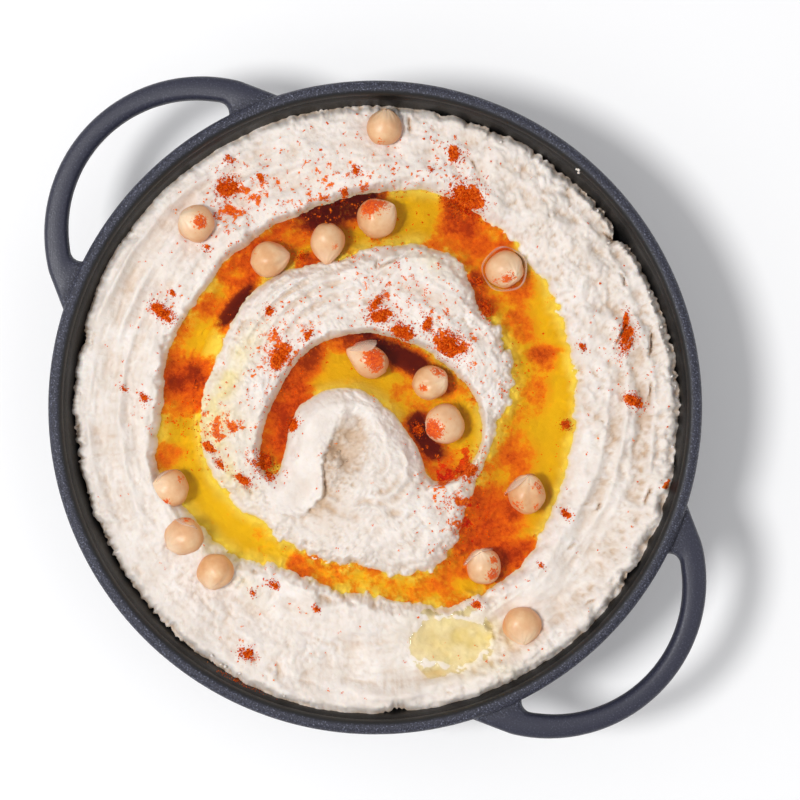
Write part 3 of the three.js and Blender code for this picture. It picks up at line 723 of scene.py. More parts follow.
def linear(hex_colour):
    """An sRGB hex colour as linear red, green, blue and 1."""
    parts = [int(hex_colour[i : i + 2], 16) / 255 for i in (1, 3, 5)]
    return [p / 12.92 if p <= 0.04045 else ((p + 0.055) / 1.055) ** 2.4 for p in parts] + [1.0]


def set_inputs(node, **inputs):
    """Gives a node's inputs a value or another node's output. An input goes by its name, with
    _ for a space, or by its number as i_0."""
    for name, value in inputs.items():
        numbered = name.startswith("i_")
        socket = node.inputs[int(name[2:]) if numbered else name.replace("_", " ")]
        if isinstance(value, bpy.types.NodeSocket):
            node.id_data.links.new(value, socket)
        else:
            socket.default_value = value


def add_node(tree, kind, out=0, stops=(), **named):
    """Adds a node and returns its output `out`. Each name is an input, as in set_inputs, or
    else a setting. `stops` are the places and hex colours of a colour ramp."""
    node = tree.nodes.new("ShaderNode" + kind)
    inputs = {}
    for name, value in named.items():
        if name.startswith("i_") or name.replace("_", " ") in node.inputs:
            inputs[name] = value
        else:
            setattr(node, name, value)
    set_inputs(node, **inputs)
    if stops:
        elements = node.color_ramp.elements
        while len(elements) < len(stops):
            elements.new(0.5)
        for element, (place, colour) in zip(elements, stops):
            element.position = place
            element.color = linear(colour)
    return node.outputs[out]


def new_material(name, **sockets):
    """A node material whose surface has the given values. Returns it, its surface and a
    function that adds a node to it."""
    material = bpy.data.materials.new(name)
    material.use_nodes = True
    surface = material.node_tree.nodes["Principled BSDF"]
    set_inputs(surface, **sockets)
    return material, surface, partial(add_node, material.node_tree)


COLOURS = {"out": 2, "data_type": "RGBA"}  # what a Mix node needs to mix colours
PAPRIKA_GRIT = 0.9  # mm: real ground paprika is about 0.3, drawn coarser so that it shows


def enamel_material():
    """Matt enamel baked on sand-cast iron: the casting's fine pebbles show through on the rim
    and handles, their tips painted pale as glints, and the inside is smoother, more neutral and
    painted near black, partly its own charcoal and partly painted shade of the gap by the hummus."""
    pebble, patch = 0.5, 9  # mm
    material, surface, add = new_material("matt_enamel_on_cast_iron")
    place = add("TexCoord", out="Object")
    flat = add("VectorMath", operation="MULTIPLY", i_0=place, i_1=(1, 1, 0))
    radius = add("VectorMath", out="Value", operation="LENGTH", i_0=flat)
    inside = add("Attribute", out="Fac", attribute_name="inside")
    outside = add("Math", operation="SUBTRACT", i_0=1.0, i_1=inside)
    pebbles = add("TexNoise", Vector=place, Scale=METRE / pebble, Detail=4.0, Roughness=0.65)
    # Painted glints: the pebbles' tips are painted pale, less so on the handles.
    stops = [(0.38, "#1A1A26"), (0.5, "#272837"), (0.59, "#3A3C4E"), (0.67, "#7C7F90")]
    tips = add("ValToRGB", i_0=pebbles, stops=stops)
    on_handle = add("MapRange", Value=radius, From_Min=0.0955, From_Max=0.098, To_Min=0.0, To_Max=0.75)
    tips = add("Mix", **COLOURS, i_0=on_handle, i_6=tips, i_7=linear("#2B2C3C"))
    cloud = add("TexNoise", Vector=place, Scale=METRE / patch, Detail=2.0)
    # Charcoal enamel inside, painted near black, partly as painted shade of the gap by the hummus.
    inner = add("ValToRGB", i_0=cloud, stops=[(0.3, "#0A0A0B"), (0.7, "#131212")])
    colour = add("Mix", **COLOURS, i_0=outside, i_6=inner, i_7=tips)
    rough = add("MapRange", Value=pebbles, From_Min=0.3, From_Max=0.75, To_Min=0.55, To_Max=0.32)
    pebbled = add("Math", operation="SUBTRACT", i_0=outside, i_1=on_handle)
    strength = add("MapRange", Value=pebbled, To_Min=0.12, To_Max=0.75)
    bump = add("Bump", Strength=strength, Distance=0.35 / METRE, Height=pebbles)
    set_inputs(surface, Base_Color=colour, Roughness=rough, Normal=bump)
    return material


def hummus_material():
    """Hummus: an off-white paste of ground chickpeas and sesame, soft inside so that light
    spreads in it, with tan flecks, oil that has soaked in, paprika that has stained it, and
    painted tan shade in its hollows."""
    material, surface, add = new_material(
        "hummus_paste",
        Subsurface_Weight=0.2,
        Subsurface_Radius=(1.0, 0.72, 0.45),
        Subsurface_Scale=1.1 / METRE,
        IOR=1.4,
    )
    cloud_size, fleck_size, blot_size, pore = 8, 1.6, 2.6, 0.8  # mm
    place = add("TexCoord", out="Object")
    cloud = add("TexNoise", Vector=place, Scale=METRE / cloud_size, Detail=4.0, Roughness=0.6)
    base = add("ValToRGB", i_0=cloud, stops=[(0.3, "#E1D6CB"), (0.5, "#E9DFD6"), (0.72, "#F0E9E2")])
    # Painted shade: the hollow attribute mixes in tan where the surface lies low, as if shade fell there.
    hollow = add("Attribute", out="Fac", attribute_name="hollow")
    base = add("Mix", **COLOURS, i_0=hollow, i_6=base, i_7=linear("#CBB095"))
    fleck = add("TexNoise", Vector=place, Scale=METRE / fleck_size, Detail=3.0, Roughness=0.7)
    tan = add("MapRange", Value=fleck, From_Min=0.62, From_Max=0.75, To_Min=0.0, To_Max=0.35)
    base = add("Mix", **COLOURS, i_0=tan, i_6=base, i_7=linear("#E0CBB2"))
    film = add("Attribute", out="Fac", attribute_name="film")
    soaked = add("Math", operation="MULTIPLY", i_0=film, i_1=0.75)
    base = add("Mix", **COLOURS, i_0=soaked, i_6=base, i_7=linear("#E8D58C"))
    stain = add("Attribute", out="Fac", attribute_name="stain")
    grit = add("TexNoise", Vector=place, Scale=METRE / PAPRIKA_GRIT, Detail=5.0, Roughness=0.75)
    blot = add("TexNoise", Vector=place, Scale=METRE / blot_size, Detail=2.0, Roughness=0.5)
    cover = add("Math", operation="MULTIPLY_ADD", i_0=grit, i_1=1.4, i_2=stain)
    cover = add("Math", operation="MULTIPLY_ADD", i_0=blot, i_1=1.2, i_2=cover)
    cover = add("MapRange", Value=cover, From_Min=1.87, From_Max=1.96)
    powder = add("ValToRGB", i_0=grit, stops=[(0.36, "#A83000"), (0.48, "#DC5200"), (0.64, "#F68418")])
    base = add("Mix", **COLOURS, i_0=cover, i_6=base, i_7=powder)
    rough = add("MapRange", Value=film, From_Min=0.0, From_Max=0.8, To_Min=0.58, To_Max=0.3)
    rough = add("Math", operation="MULTIPLY_ADD", i_0=cover, i_1=0.35, i_2=rough)
    pores = add("TexNoise", Vector=place, Scale=METRE / pore, Detail=4.0, Roughness=0.65)
    bump = add("Bump", Strength=0.5, Distance=0.4 / METRE, Height=pores)
    set_inputs(surface, Base_Color=base, Roughness=rough, Normal=bump)
    return material


def oil_material(name, thin):
    """Olive oil, unfiltered and warm gold, with ground paprika steeping in it: a clear liquid,
    yellow to amber with depth, that clouds of powder turn to orange, brick red and, where
    they are thickest, nearly brown, and painted shade darkens it further toward brown. Lamps
    shine through it. The thin film is pale."""
    grain_size, cloud_size = 1.3, 4.0  # mm
    material, surface, add = new_material(name, Roughness=0.03, IOR=1.47, Transmission_Weight=1.0)
    place = add("TexCoord", out="Object")
    grain = add("TexNoise", Vector=place, Scale=METRE / grain_size, Detail=7.0, Roughness=0.8)
    grain = add("Math", operation="SUBTRACT", i_0=grain, i_1=0.5)
    cloud = add("TexNoise", Vector=place, Scale=METRE / cloud_size, Detail=4.0, Roughness=0.6)
    cloud = add("Math", operation="SUBTRACT", i_0=cloud, i_1=0.5)
    depth = add("Attribute", out="Fac", attribute_name="depth")
    redness = add("Attribute", out="Fac", attribute_name="redness")
    darkness = add("Attribute", out="Fac", attribute_name="darkness")
    gritty = add("MapRange", Value=redness, From_Min=-0.1, From_Max=0.5, To_Min=0.7, To_Max=1.9)
    level = add("Math", operation="MULTIPLY_ADD", i_0=grain, i_1=gritty, i_2=redness)
    level = add("Math", operation="MULTIPLY_ADD", i_0=cloud, i_1=0.7, i_2=level)
    if thin:
        colour = add("Mix", **COLOURS, i_0=depth, i_6=linear("#E2DAB2"), i_7=linear("#CFC27A"))
    else:
        gold = add("Mix", **COLOURS, i_0=depth, i_6=linear("#EEDA56"), i_7=linear("#DBAE0C"))
        stops = [(0.14, "#E8C010"), (0.32, "#E88E08"), (0.55, "#E06206"), (0.82, "#C04004"), (1.0, "#8E2602")]
        powder = add("ValToRGB", i_0=level, stops=stops)
        amount = add("MapRange", Value=level, From_Min=0.08, From_Max=0.36)
        colour = add("Mix", **COLOURS, i_0=amount, i_6=gold, i_7=powder)
        # Painted shade: the darkness attribute, made grainy, darkens the oil toward brown where it is deep
        # and where shade falls on it.
        dark = add("Math", operation="MULTIPLY_ADD", i_0=grain, i_1=0.7, i_2=darkness)
        dark = add("MapRange", Value=dark, From_Min=0.34, From_Max=0.72)
        colour = add("Mix", **COLOURS, i_0=dark, i_6=colour, i_7=linear("#480B05"))
    set_inputs(surface, Base_Color=colour)
    # A lamp's ray passes the top and the underside, so each takes the colour's square root.
    tint = add("Gamma", Color=colour, Gamma=0.5)
    clear = add("BsdfTransparent", Color=tint)
    lamp_ray = add("LightPath", out="Is Shadow Ray")
    both = add("MixShader", i_0=lamp_ray, i_1=surface.outputs[0], i_2=clear)
    set_inputs(material.node_tree.nodes["Material Output"], Surface=both)
    return material


def chickpea_material():
    """A boiled chickpea: a moist waxy skin, peach to straw, over a paler inside that light
    reaches, with paprika clinging to it, and deeper orange on its lower half, partly oil soaked in
    and partly painted shade and reflection of the orange oil."""
    cloud_size = 5  # mm
    material, surface, add = new_material(
        "boiled_chickpea_skin",
        Subsurface_Weight=0.2,
        Subsurface_Radius=(1.0, 0.55, 0.28),
        Subsurface_Scale=0.7 / METRE,
        Coat_Weight=0.1,
        Coat_Roughness=0.28,
    )
    place = add("TexCoord", out="Object")
    cloud = add("TexNoise", Vector=place, Scale=METRE / cloud_size, Detail=3.0, Roughness=0.6)
    base = add("ValToRGB", i_0=cloud, stops=[(0.3, "#D4935A"), (0.5, "#DFA873"), (0.7, "#E9BF8F")])
    pale = add("Attribute", out="Fac", attribute_name="pale")
    base = add("Mix", **COLOURS, i_0=pale, i_6=base, i_7=linear("#F6DEC0"))
    # Painted shade and reflection, with oil soaked in: the lower half is mixed toward deeper orange.
    oil_soak_and_painted_shade = add("Attribute", out="Fac", attribute_name="oil_soak_and_painted_shade")
    base = add("Mix", **COLOURS, i_0=oil_soak_and_painted_shade, i_6=base, i_7=linear("#E08A45"))
    dust = add("Attribute", out="Fac", attribute_name="dust")
    grit = add("TexNoise", Vector=place, Scale=METRE / PAPRIKA_GRIT, Detail=5.0, Roughness=0.75)
    cover = add("Math", operation="MULTIPLY_ADD", i_0=grit, i_1=2.6, i_2=dust)
    cover = add("MapRange", Value=cover, From_Min=1.84, From_Max=1.96)
    powder = add("ValToRGB", i_0=grit, stops=[(0.36, "#B83200"), (0.5, "#DE4E00"), (0.66, "#F07A10")])
    base = add("Mix", **COLOURS, i_0=cover, i_6=base, i_7=powder)
    rough = add("MapRange", Value=cover, To_Min=0.42, To_Max=0.9)
    bump = add("Bump", Strength=0.25, Distance=0.2 / METRE, Height=cloud)
    set_inputs(surface, Base_Color=base, Roughness=rough, Normal=bump)
    return material


def powder_material(name, stops, roughness):
    """Ground paprika: every grain its own shade from brick to orange; oil darkens it."""
    material, surface, add = new_material(name, Roughness=roughness, Specular_IOR_Level=0.05)
    shade = add("Attribute", out="Fac", attribute_name="shade")
    set_inputs(surface, Base_Color=add("ValToRGB", i_0=shade, stops=stops))
    return material


ENAMEL = enamel_material()
HUMMUS = hummus_material()
OIL = oil_material("olive_oil_with_paprika", thin=False)
THIN_OIL = oil_material("olive_oil_film", thin=True)
CHICKPEA = chickpea_material()
# A chickpea's loose skin: a thin wet film, milky and half clear.
SKIN = new_material("loose_chickpea_skin", Base_Color=linear("#F3DCC8"), Roughness=0.18, Alpha=0.34)[0]
DRY_SHADES = [(0.0, "#A83002"), (0.4, "#D84C04"), (0.8, "#F07214"), (1.0, "#F8943A")]
WET_SHADES = [(0.0, "#962804"), (0.5, "#D04A08"), (1.0, "#F07A18")]
DRY_PAPRIKA = powder_material("dry_ground_paprika", DRY_SHADES, 0.85)
WET_PAPRIKA = powder_material("oil_soaked_paprika", WET_SHADES, 0.4)
# Matt white studio paper, for the floor.
PAPER = new_material("white_studio_paper", Base_Color=linear("#FDFDFD"), Roughness=0.9)[0]


# ------------------------------------------------------------------ the pan


def make_bowl():
    """The bowl's section turned round: base, round corner, flared wall, the thicker lip as an
    oval bead, and back down the inside. Each point of the section becomes a ring of points,
    and its two ends lie on the axis."""
    outside = spline([(75, 0.15), (80.5, 1.6), (84.5, 6), (88, 14), (90.6, 30), (91.8, PAN_HEIGHT - 6.5)], 26)
    bead = arc(0, 0, 1, -78, 210, 26) * (2.15, 2.1) + (RIM_RADIUS - 2.15, PAN_HEIGHT - 2.1)
    inside_z = np.linspace(PAN_HEIGHT - 4.2, FLOOR_THICKNESS + 0.1, 26)
    inside = np.stack([wall_radius(inside_z), inside_z], -1)
    section = np.vstack([[(40, 0), (74, 0)], outside, bead, inside, [(60, FLOOR_THICKNESS)]])
    angle = np.linspace(0, 2 * np.pi, 240, endpoint=False)
    radius, z = section[:, :1], section[:, 1:]
    points = stacked(radius * np.cos(angle), radius * np.sin(angle), z)
    points = np.vstack([points, [0, 0, 0], [0, 0, FLOOR_THICKNESS]])
    return mesh_piece("pan_bowl", points, capped_rings(len(section), len(angle)), ENAMEL)


def evenly(line, count):
    """Points at equal steps along a line of points."""
    steps = np.r_[0, np.cumsum(np.linalg.norm(np.diff(line, axis=0), axis=1))]
    at = np.linspace(0, steps[-1], count)
    return np.stack([np.interp(at, steps, line[:, k]) for k in (0, 1)], -1)


def make_handle(name, side):
    """A loop handle: a rounded bar carried along the strip between the handle's outer edge and
    the finger gap's edge. Both edges are arcs with round or hollow corners, and the strip's
    ends are inside the pan's wall."""
    outer_radius, gap_radius, gap_middle = 46, 37.5, 74.0
    half = 3.25  # of the bar's height
    outer = evenly(
        np.vstack(
            [
                arc(86.5, 53.2, 9, 222, 240, 10),
                arc(HANDLE_REACH - outer_radius, 0, outer_radius, 61, -61, 70)[1:-1],
                arc(86.5, -53.2, 9, 120, 138, 10),
            ]
        ),
        110,
    )
    inner = evenly(
        np.vstack(
            [
                arc(93.4, 27.9, 3.6, 200, 57, 24),
                arc(gap_middle, 0, gap_radius, 55, -55, 42)[1:-1],
                arc(93.4, -27.9, 3.6, -57, -200, 24),
            ]
        ),
        110,
    )
    # The bar's section: flat between two rounded edges, by angle round it.
    turn = np.linspace(0, 2 * np.pi, 28, endpoint=False)
    c, s = np.cos(turn), np.sin(turn)
    width = np.linalg.norm(outer - inner, axis=1)[:, None]
    middle = (outer + inner) / 2
    across = (outer - inner) / width
    flat = np.maximum(width / 2 - half * 0.85, 0)
    out = np.sign(c) * (flat * np.minimum(1, np.abs(c) * 6) + half * 0.85 * np.abs(c) ** 0.8)
    z = PAN_HEIGHT - 3.0 - half + half * np.sign(s) * np.abs(s) ** 0.72
    points = stacked(middle[:, :1] + across[:, :1] * out, middle[:, 1:] + across[:, 1:] * out, z)
    rows, columns = len(outer), len(turn)
    faces = grid_faces(rows, columns, 0, closed=True)
    faces.append(list(range(columns)))
    faces.append(list(range((rows - 1) * columns, rows * columns))[::-1])
    return mesh_piece(name, points * (side, side, 1), faces, ENAMEL)


def make_pan():
    """Bowl and handles joined to one closed casting, with the inside of the bowl marked."""
    bowl = make_bowl()
    outward(bowl)
    for name, side in (("handle_right", 1), ("handle_left", -1)):
        handle = make_handle(name, side)
        outward(handle)
        join = bowl.modifiers.new(name, "BOOLEAN")
        join.operation = "UNION"
        join.solver = "MANIFOLD"
        join.object = handle
        apply_modifier(bowl, name)
        bpy.data.objects.remove(handle)
    bowl.name = "pan_casting"
    bowl.data.shade_smooth()
    places = np.empty(len(bowl.data.vertices) * 3, np.float32)
    bowl.data.vertices.foreach_get("co", places)
    x, y, z = places.reshape(-1, 3).T * METRE
    within = smoothstep(wall_radius(z) + 1.4 - np.hypot(x, y), 0.0, 0.8)
    set_value(bowl, "inside", within * (z > FLOOR_THICKNESS - 1))
    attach(bowl, "root")
    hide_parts("pan")


# ------------------------------------------------------------------ the hummus

FOOT = FLOOR_THICKNESS - 0.1  # height of the hummus's underside
CREASE = math.radians(80)  # an edge sharper than this is shaded as an edge


def disc_map(count):
    """A square grid laid over a disc so that every cell keeps about the same area: squares
    round the middle become rings. Returns unit x and y as count by count arrays."""
    side = np.linspace(-1, 1, count)
    a, b = np.meshgrid(side, side, indexing="ij")
    wide = np.abs(a) > np.abs(b)
    radius = np.where(wide, a, b)
    safe_a = np.where(a == 0, 1e-9, a)
    safe_b = np.where(b == 0, 1e-9, b)
    angle = np.where(wide, np.pi / 4 * b / safe_a, np.pi / 2 - np.pi / 4 * a / safe_b)
    return radius * np.cos(angle), radius * np.sin(angle)


def seam_radius(degrees):
    """The hummus is made as two pieces that meet under the ring pool, at its middle."""
    return (around(RING_INNER, degrees) + around(RING_OUTER, degrees)) / 2


def edge_radius(degrees):
    """How far the hummus reaches at each angle: into the wall, or short of it with a crumbly
    edge, and torn back in a few notches."""
    along = degrees / 360 * 400
    flat = np.zeros_like(degrees)
    uneven = 0.9 * np.abs(soft_noise(flat, along, 83, 400)) + 0.5 * soft_noise(flat, along * 1.25, 89, 500)
    gap = np.maximum(around(WALL_GAP, degrees), 0)
    for at, width, depth in WALL_NOTCHES:
        gap = gap + depth * bell(degrees - at, width)
    top = OIL_LEVEL + CREST - around(WALL_FALL, degrees)
    return wall_radius(top) + 0.25 - gap - uneven * np.clip(0.35 + gap, 0, 1)


def blurred(values, passes):
    """A grid of values smoothed by repeated averaging with its neighbours."""
    out = values
    for _ in range(passes):
        padded = np.pad(out, 1, mode="edge")
        out = (padded[:-2, 1:-1] + padded[2:, 1:-1] + padded[1:-1, :-2] + padded[1:-1, 2:] + out) / 5
    return out


def surface_values(x, y, z, fine, broad):
    """What the hummus's material needs at each point: painted shade, from how far it lies below
    the blurred surface and past the swath's edge, the film of oil on it, and the paprika that stains it."""
    # Painted shade: the further the surface lies below its blurred self, the more tan it is given.
    hollow = np.clip(0.7 * (blurred(z, fine) - z), 0, 0.8)
    hollow += 0.45 * np.clip(blurred(z, broad) - z, 0, 1.2)
    # Painted shade on the slope that falls away past the swath's edge.
    past = past_swath(x, y)
    painted_shade_past_swath = smoothstep(past, 0.2, 1.4) * np.exp(-np.maximum(past, 0) / 7.0)
    hollow += 0.75 * painted_shade_past_swath * window(y, -40, -32, -11, -5)
    land = land_distance(*shores(x, y))
    hollow *= smoothstep(land, -0.5, 0.8)
    film = sum(amount * oval(x, y, patch) for *patch, amount in FILMS)
    film = film * (0.8 + 0.9 * layered_noise(x, y, 4, 97, 3)) + 0.6 * (1 - smoothstep(land, 0.0, 1.1))
    film = np.where(land < -0.5, 0.0, np.clip(film, 0, 1))
    stain = 0.6 * sum(amount * oval(x, y, patch) for *patch, amount in DUSTINGS)
    stain = stain * (0.75 + 0.9 * layered_noise(x, y, 3.5, 101, 3))
    stain = np.maximum(stain, smoothstep(heap_share(x, y), -0.25, 0.35))
    return {"hollow": np.clip(hollow, 0, 1), "film": film, "stain": np.clip(stain, 0, 1)}


def finish_hummus(name, points, faces, values):
    """Makes a piece of hummus. The material's values are for its first points, the top."""
    piece = mesh_piece(name, points, faces, HUMMUS, "hummus")
    outward(piece)
    piece.data.set_sharp_from_angle(angle=CREASE)
    for key, field in values.items():
        set_value(piece, key, np.r_[field.ravel(), np.zeros(len(points) - field.size)])
    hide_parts("hummus")


def make_hummus_middle(count):
    """Everything inside the ring pool: the relief over a disc that reaches a little past the
    seam, where it dips under the outer piece, then straight down to a flat foot."""
    u, v = disc_map(count)
    seam = seam_radius(polar(u, v)[1])
    x, y = u * (seam + 0.6), v * (seam + 0.6)
    z = relief(x, y) - 0.08 * smoothstep(np.hypot(x, y) - seam, -0.4, 0.4)
    ids = np.arange(count * count).reshape(count, count)
    rim = np.concatenate([ids[:, 0], ids[-1, 1:], ids[-2::-1, -1], ids[0, -2:0:-1]])
    top = stacked(x, y, z)
    below = top[rim] * (1, 1, 0) + (0, 0, FOOT)
    low = len(top) + np.arange(len(rim))
    points = np.vstack([top, below, [0, 0, FOOT]])
    faces = grid_faces(count, count) + band(rim, low) + fan(low, len(points) - 1)
    finish_hummus("hummus_middle", points, faces, surface_values(x, y, z, 6, 200))


def make_hummus_outer(columns, rows):
    """Everything from the seam to the wall: the relief over rings of points, then down the
    wall, just inside the iron, across the foot and up the seam."""
    degrees = np.linspace(0, 360, columns, endpoint=False)
    a = np.radians(degrees)
    seam = seam_radius(degrees)
    edge = edge_radius(degrees)
    share = np.linspace(0, 1, rows)[:, None]
    r = seam + (edge - seam) * share
    x, y = r * np.cos(a), r * np.sin(a)
    z = relief(x, y) - 2.6 * smoothstep(share, 0.88, 1.0) ** 2.5

    def ring(radius, height):
        """A ring of points below the top."""
        return stacked(radius * np.cos(a), radius * np.sin(a), height)

    rings = [stacked(x, y, z)]
    for drop in (1.5, 4.5):
        height = z[-1] - drop
        rings.append(ring(np.minimum(edge - 0.5 + 0.25 * drop, wall_radius(height) + 0.3), height))
    for height in (24.0, 12.0, 7.0, FOOT):
        rings.append(ring(wall_radius(max(height, FLOOR_THICKNESS)) + 0.3, height))
    rings.append(ring(seam, FOOT))
    points = np.concatenate(rings)
    first = np.arange(columns)
    faces = grid_faces(len(points) // columns, columns, 0, closed=True)
    faces += band(first + len(points) - columns, first)
    finish_hummus("hummus_outer", points, faces, surface_values(x, y, z, 5, 50))


# ------------------------------------------------------------------ the oil


def oil_values(x, y, depth):
    """What the oil's material needs at each point: how red paprika has made it, how dark it is
    painted for depth and for shade, and how deep."""
    red = np.zeros_like(x)
    dark = np.zeros_like(x)
    weight = np.full_like(x, 0.12)
    for *patch, redness, darkness in OIL_TINTS:
        near = oval(x, y, patch)
        red += near * redness
        dark += near * darkness
        weight += near
    cloud = layered_noise(x, y, 5, 103, 4, 0.65)
    red = np.maximum(red / weight, -0.12) + 0.6 * cloud
    dark = dark / np.maximum(weight, 0.6) + 0.25 * cloud
    return {"redness": red, "darkness": dark, "depth": smoothstep(depth, 0.1, 3.4)}


def pea_place(name):
    """Middle and half size of a chickpea's CAD node."""
    low, high = box_mm(f"chickpea_{name}")
    return (low + high) / 2, (high - low) / 2


def oil_top(x, y, level, depth):
    """The oil's surface: flat, drawn up where it wets the hummus and each chickpea."""
    z = level + 0.1 * np.exp(-np.clip(depth, 0, 9) / 0.8)
    for name in CHICKPEAS:
        middle, half = pea_place(name)
        dip = level - middle[2]
        size = half.mean()
        if abs(dip) < size:
            waterline = math.sqrt(size * size - dip * dip)
            away = np.abs(np.hypot(x - middle[0], y - middle[1]) - waterline)
            z = np.maximum(z, level + 0.14 * np.exp(-away / 0.9))
    return z


def pool_shell(x, y, level):
    """A pool's points, first its top and then its underside just inside the hummus, and what
    the oil's material needs at each."""
    ground = relief(x, y)
    depth = level - ground
    under = np.minimum(ground - 0.35, level - 0.25)
    points = np.concatenate([stacked(x, y, oil_top(x, y, level, depth)), stacked(x, y, under)])
    return points, {key: np.tile(field.ravel(), 2) for key, field in oil_values(x, y, depth).items()}


def finish_pool(name, points, faces, values, node, material):
    """Makes a pool that stands for a CAD node."""
    piece = mesh_piece(name, points, faces, material, "oil")
    outward(piece)
    for key, field in values.items():
        set_value(piece, key, field)
    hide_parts(node)


def make_ring_pool(columns, rows):
    """The ring pool: a closed shell over rings of points that follow its groove and reach a
    little into the hummus on both sides."""
    margin = 2.6
    degrees = np.linspace(0, 360, columns, endpoint=False)
    inside = around(RING_INNER, degrees) - margin
    outside = around(RING_OUTER, degrees) + margin
    r = inside + (outside - inside) * np.linspace(0, 1, rows)[:, None]
    a = np.radians(degrees)
    points, values = pool_shell(r * np.cos(a), r * np.sin(a), OIL_LEVEL)
    count = rows * columns
    faces = grid_faces(rows, columns, 0, closed=True) + grid_faces(rows, columns, count, closed=True)
    for start in (0, count - columns):
        edge = start + np.arange(columns)
        faces += band(edge, edge + count)
    finish_pool("oil_ring_pool", points, faces, values, "oil_ring", OIL)


def make_pool_in(name, low, high, step, inside, level, node, material):
    """A pool over the square cells of a lattice whose middles are inside: top, underside and,
    wherever a kept cell has no kept neighbour, a side wall."""
    x, y = np.meshgrid(np.arange(low[0], high[0], step), np.arange(low[1], high[1], step), indexing="ij")
    points, values = pool_shell(x, y, level)
    kept = np.pad(inside(x[:-1, :-1] + step / 2, y[:-1, :-1] + step / 2), 1)
    core = kept[1:-1, 1:-1]
    count = x.size
    ids = np.arange(count).reshape(x.shape)
    corners = {"a": ids[:-1, :-1], "b": ids[1:, :-1], "c": ids[1:, 1:], "d": ids[:-1, 1:]}
    quads = [np.stack([corners[k][core] for k in "abcd"], -1)]
    quads.append(np.stack([corners[k][core] + count for k in "dcba"], -1))
    sides = (("da", kept[:-2, 1:-1]), ("bc", kept[2:, 1:-1]), ("ab", kept[1:-1, :-2]), ("cd", kept[1:-1, 2:]))
    for (first, second), neighbour in sides:
        open_side = core & ~neighbour
        i, j = corners[first][open_side], corners[second][open_side]
        quads.append(np.stack([j, i, i + count, j + count], -1))
    quads = np.concatenate(quads)
    used, faces = np.unique(quads, return_inverse=True)
    values = {key: field[used] for key, field in values.items()}
    finish_pool(name, points[used], faces.reshape(quads.shape).tolist(), values, node, material)


def near_hook(x, y):
    """True where the hook pool reaches, a little way into the hummus."""
    return hook_distance(x, y)[0] < 1.8


def near_patch(x, y):
    """True where the thin pool covers its basin, clear of the ring pool."""
    close = np.hypot(x - PATCH_MIDDLE[0], y - PATCH_MIDDLE[1]) < 12.5
    return close & (relief(x, y) < PATCH_LEVEL + 0.2) & (shores(x, y)[0] > 2)


# ------------------------------------------------------------------ chickpeas


def pea_axes(turn, lift):
    """Three axes of a chickpea as rows: two across its beak, and the one along it."""
    beak = direction(turn, lift)
    side = direction(turn + 90, 0)
    return np.stack([side, np.cross(beak, side), beak])


def pea_radius(polar, azimuth, seed, flat, beak):
    """A chickpea's radius by direction, 1 being its own: a short bent beak, a cleft that runs
    from the beak round one side, two cheeks, slack dimples and fine wrinkles by the beak."""
    phase = np.random.default_rng(seed).uniform(0, 2 * np.pi, 6)
    beak = beak * np.exp(-((polar / 0.38) ** 1.5))
    cleft = -0.11 * bell(np.sin((azimuth - phase[0]) / 2), 0.14) * np.sin(polar) ** 0.6
    cleft *= smoothstep(np.pi - polar, 0.4, 1.6)
    cheeks = 0.05 * np.cos(2 * azimuth - 2 * phase[0]) * np.sin(polar) ** 2
    dimples = 0.03 * np.sin(3 * polar + phase[1]) * np.cos(3 * azimuth + phase[2])
    dimples += 0.014 * np.sin(5 * polar + phase[3]) * np.cos(4 * azimuth + phase[4])
    wrinkles = 0.010 * np.cos(13 * azimuth + phase[5] + 3 * polar) * bell(polar - 0.6, 0.5)
    blunt = -0.06 * bell(np.pi - polar, 0.7)
    shape = 1 + beak + cleft + cheeks + dimples + wrinkles + blunt
    return shape * (1 - (1 - flat) * np.sin(polar) ** 2)


def on_sphere(radius, polar, azimuth):
    """Points at a radius, an angle from the third axis and an angle round it."""
    out = radius * np.sin(polar)
    return stacked(out * np.cos(azimuth), out * np.sin(azimuth), radius * np.cos(polar))


def make_chickpea(name, seed, turn, lift, flat, beak, dusted):
    """One chickpea: its radius by direction over a grid of polar angle and azimuth."""
    middle, half = pea_place(name)
    rows, columns = 42, 60
    polar = np.linspace(0, np.pi, rows + 2)[1:-1, None]
    azimuth = np.linspace(0, 2 * np.pi, columns, endpoint=False)[None, :]
    size = 1.03 * np.sort(half)[:2].mean()
    axes = pea_axes(turn, lift)
    tips = size * pea_radius(np.array([0.0, np.pi]), 0.0, seed, flat, beak)
    points = on_sphere(size * pea_radius(polar, azimuth, seed, flat, beak), polar, azimuth)
    points = np.vstack([points, [0, 0, tips[0]], [0, 0, -tips[1]]]) @ axes
    points = points - (points.min(0) + points.max(0)) / 2 + middle
    faces = capped_rings(rows, columns)
    piece = mesh_piece(f"chickpea_{name}_skin", points, faces, CHICKPEA, "chickpea")
    outward(piece)

    # Paprika clings in spots, the lower half is deeper orange, partly oil soaked in and partly
    # painted shade and reflection of the orange oil, and the skin is pale by the beak.
    way = (points - middle) / size
    dust = np.zeros(len(points))
    for toward, out, reach, amount in dusted:
        a = math.radians(toward)
        spot = np.array([math.cos(a) * out, math.sin(a) * out, math.sqrt(max(0, 1 - out * out))])
        away = np.linalg.norm(way - spot, axis=1)
        dust = np.maximum(dust, 0.85 * amount * bell(away, reach))
    set_value(piece, "dust", dust + 0.05)
    set_value(piece, "oil_soak_and_painted_shade", 0.7 * smoothstep(-way[:, 2], -0.8, 0.25))
    by_beak = bell(np.linalg.norm(way - axes[2] * 0.8, axis=1), 0.6)
    set_value(piece, "pale", np.clip(0.75 * by_beak + 0.25 * np.random.default_rng(seed).uniform(), 0, 1))
    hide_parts(f"chickpea_{name}")


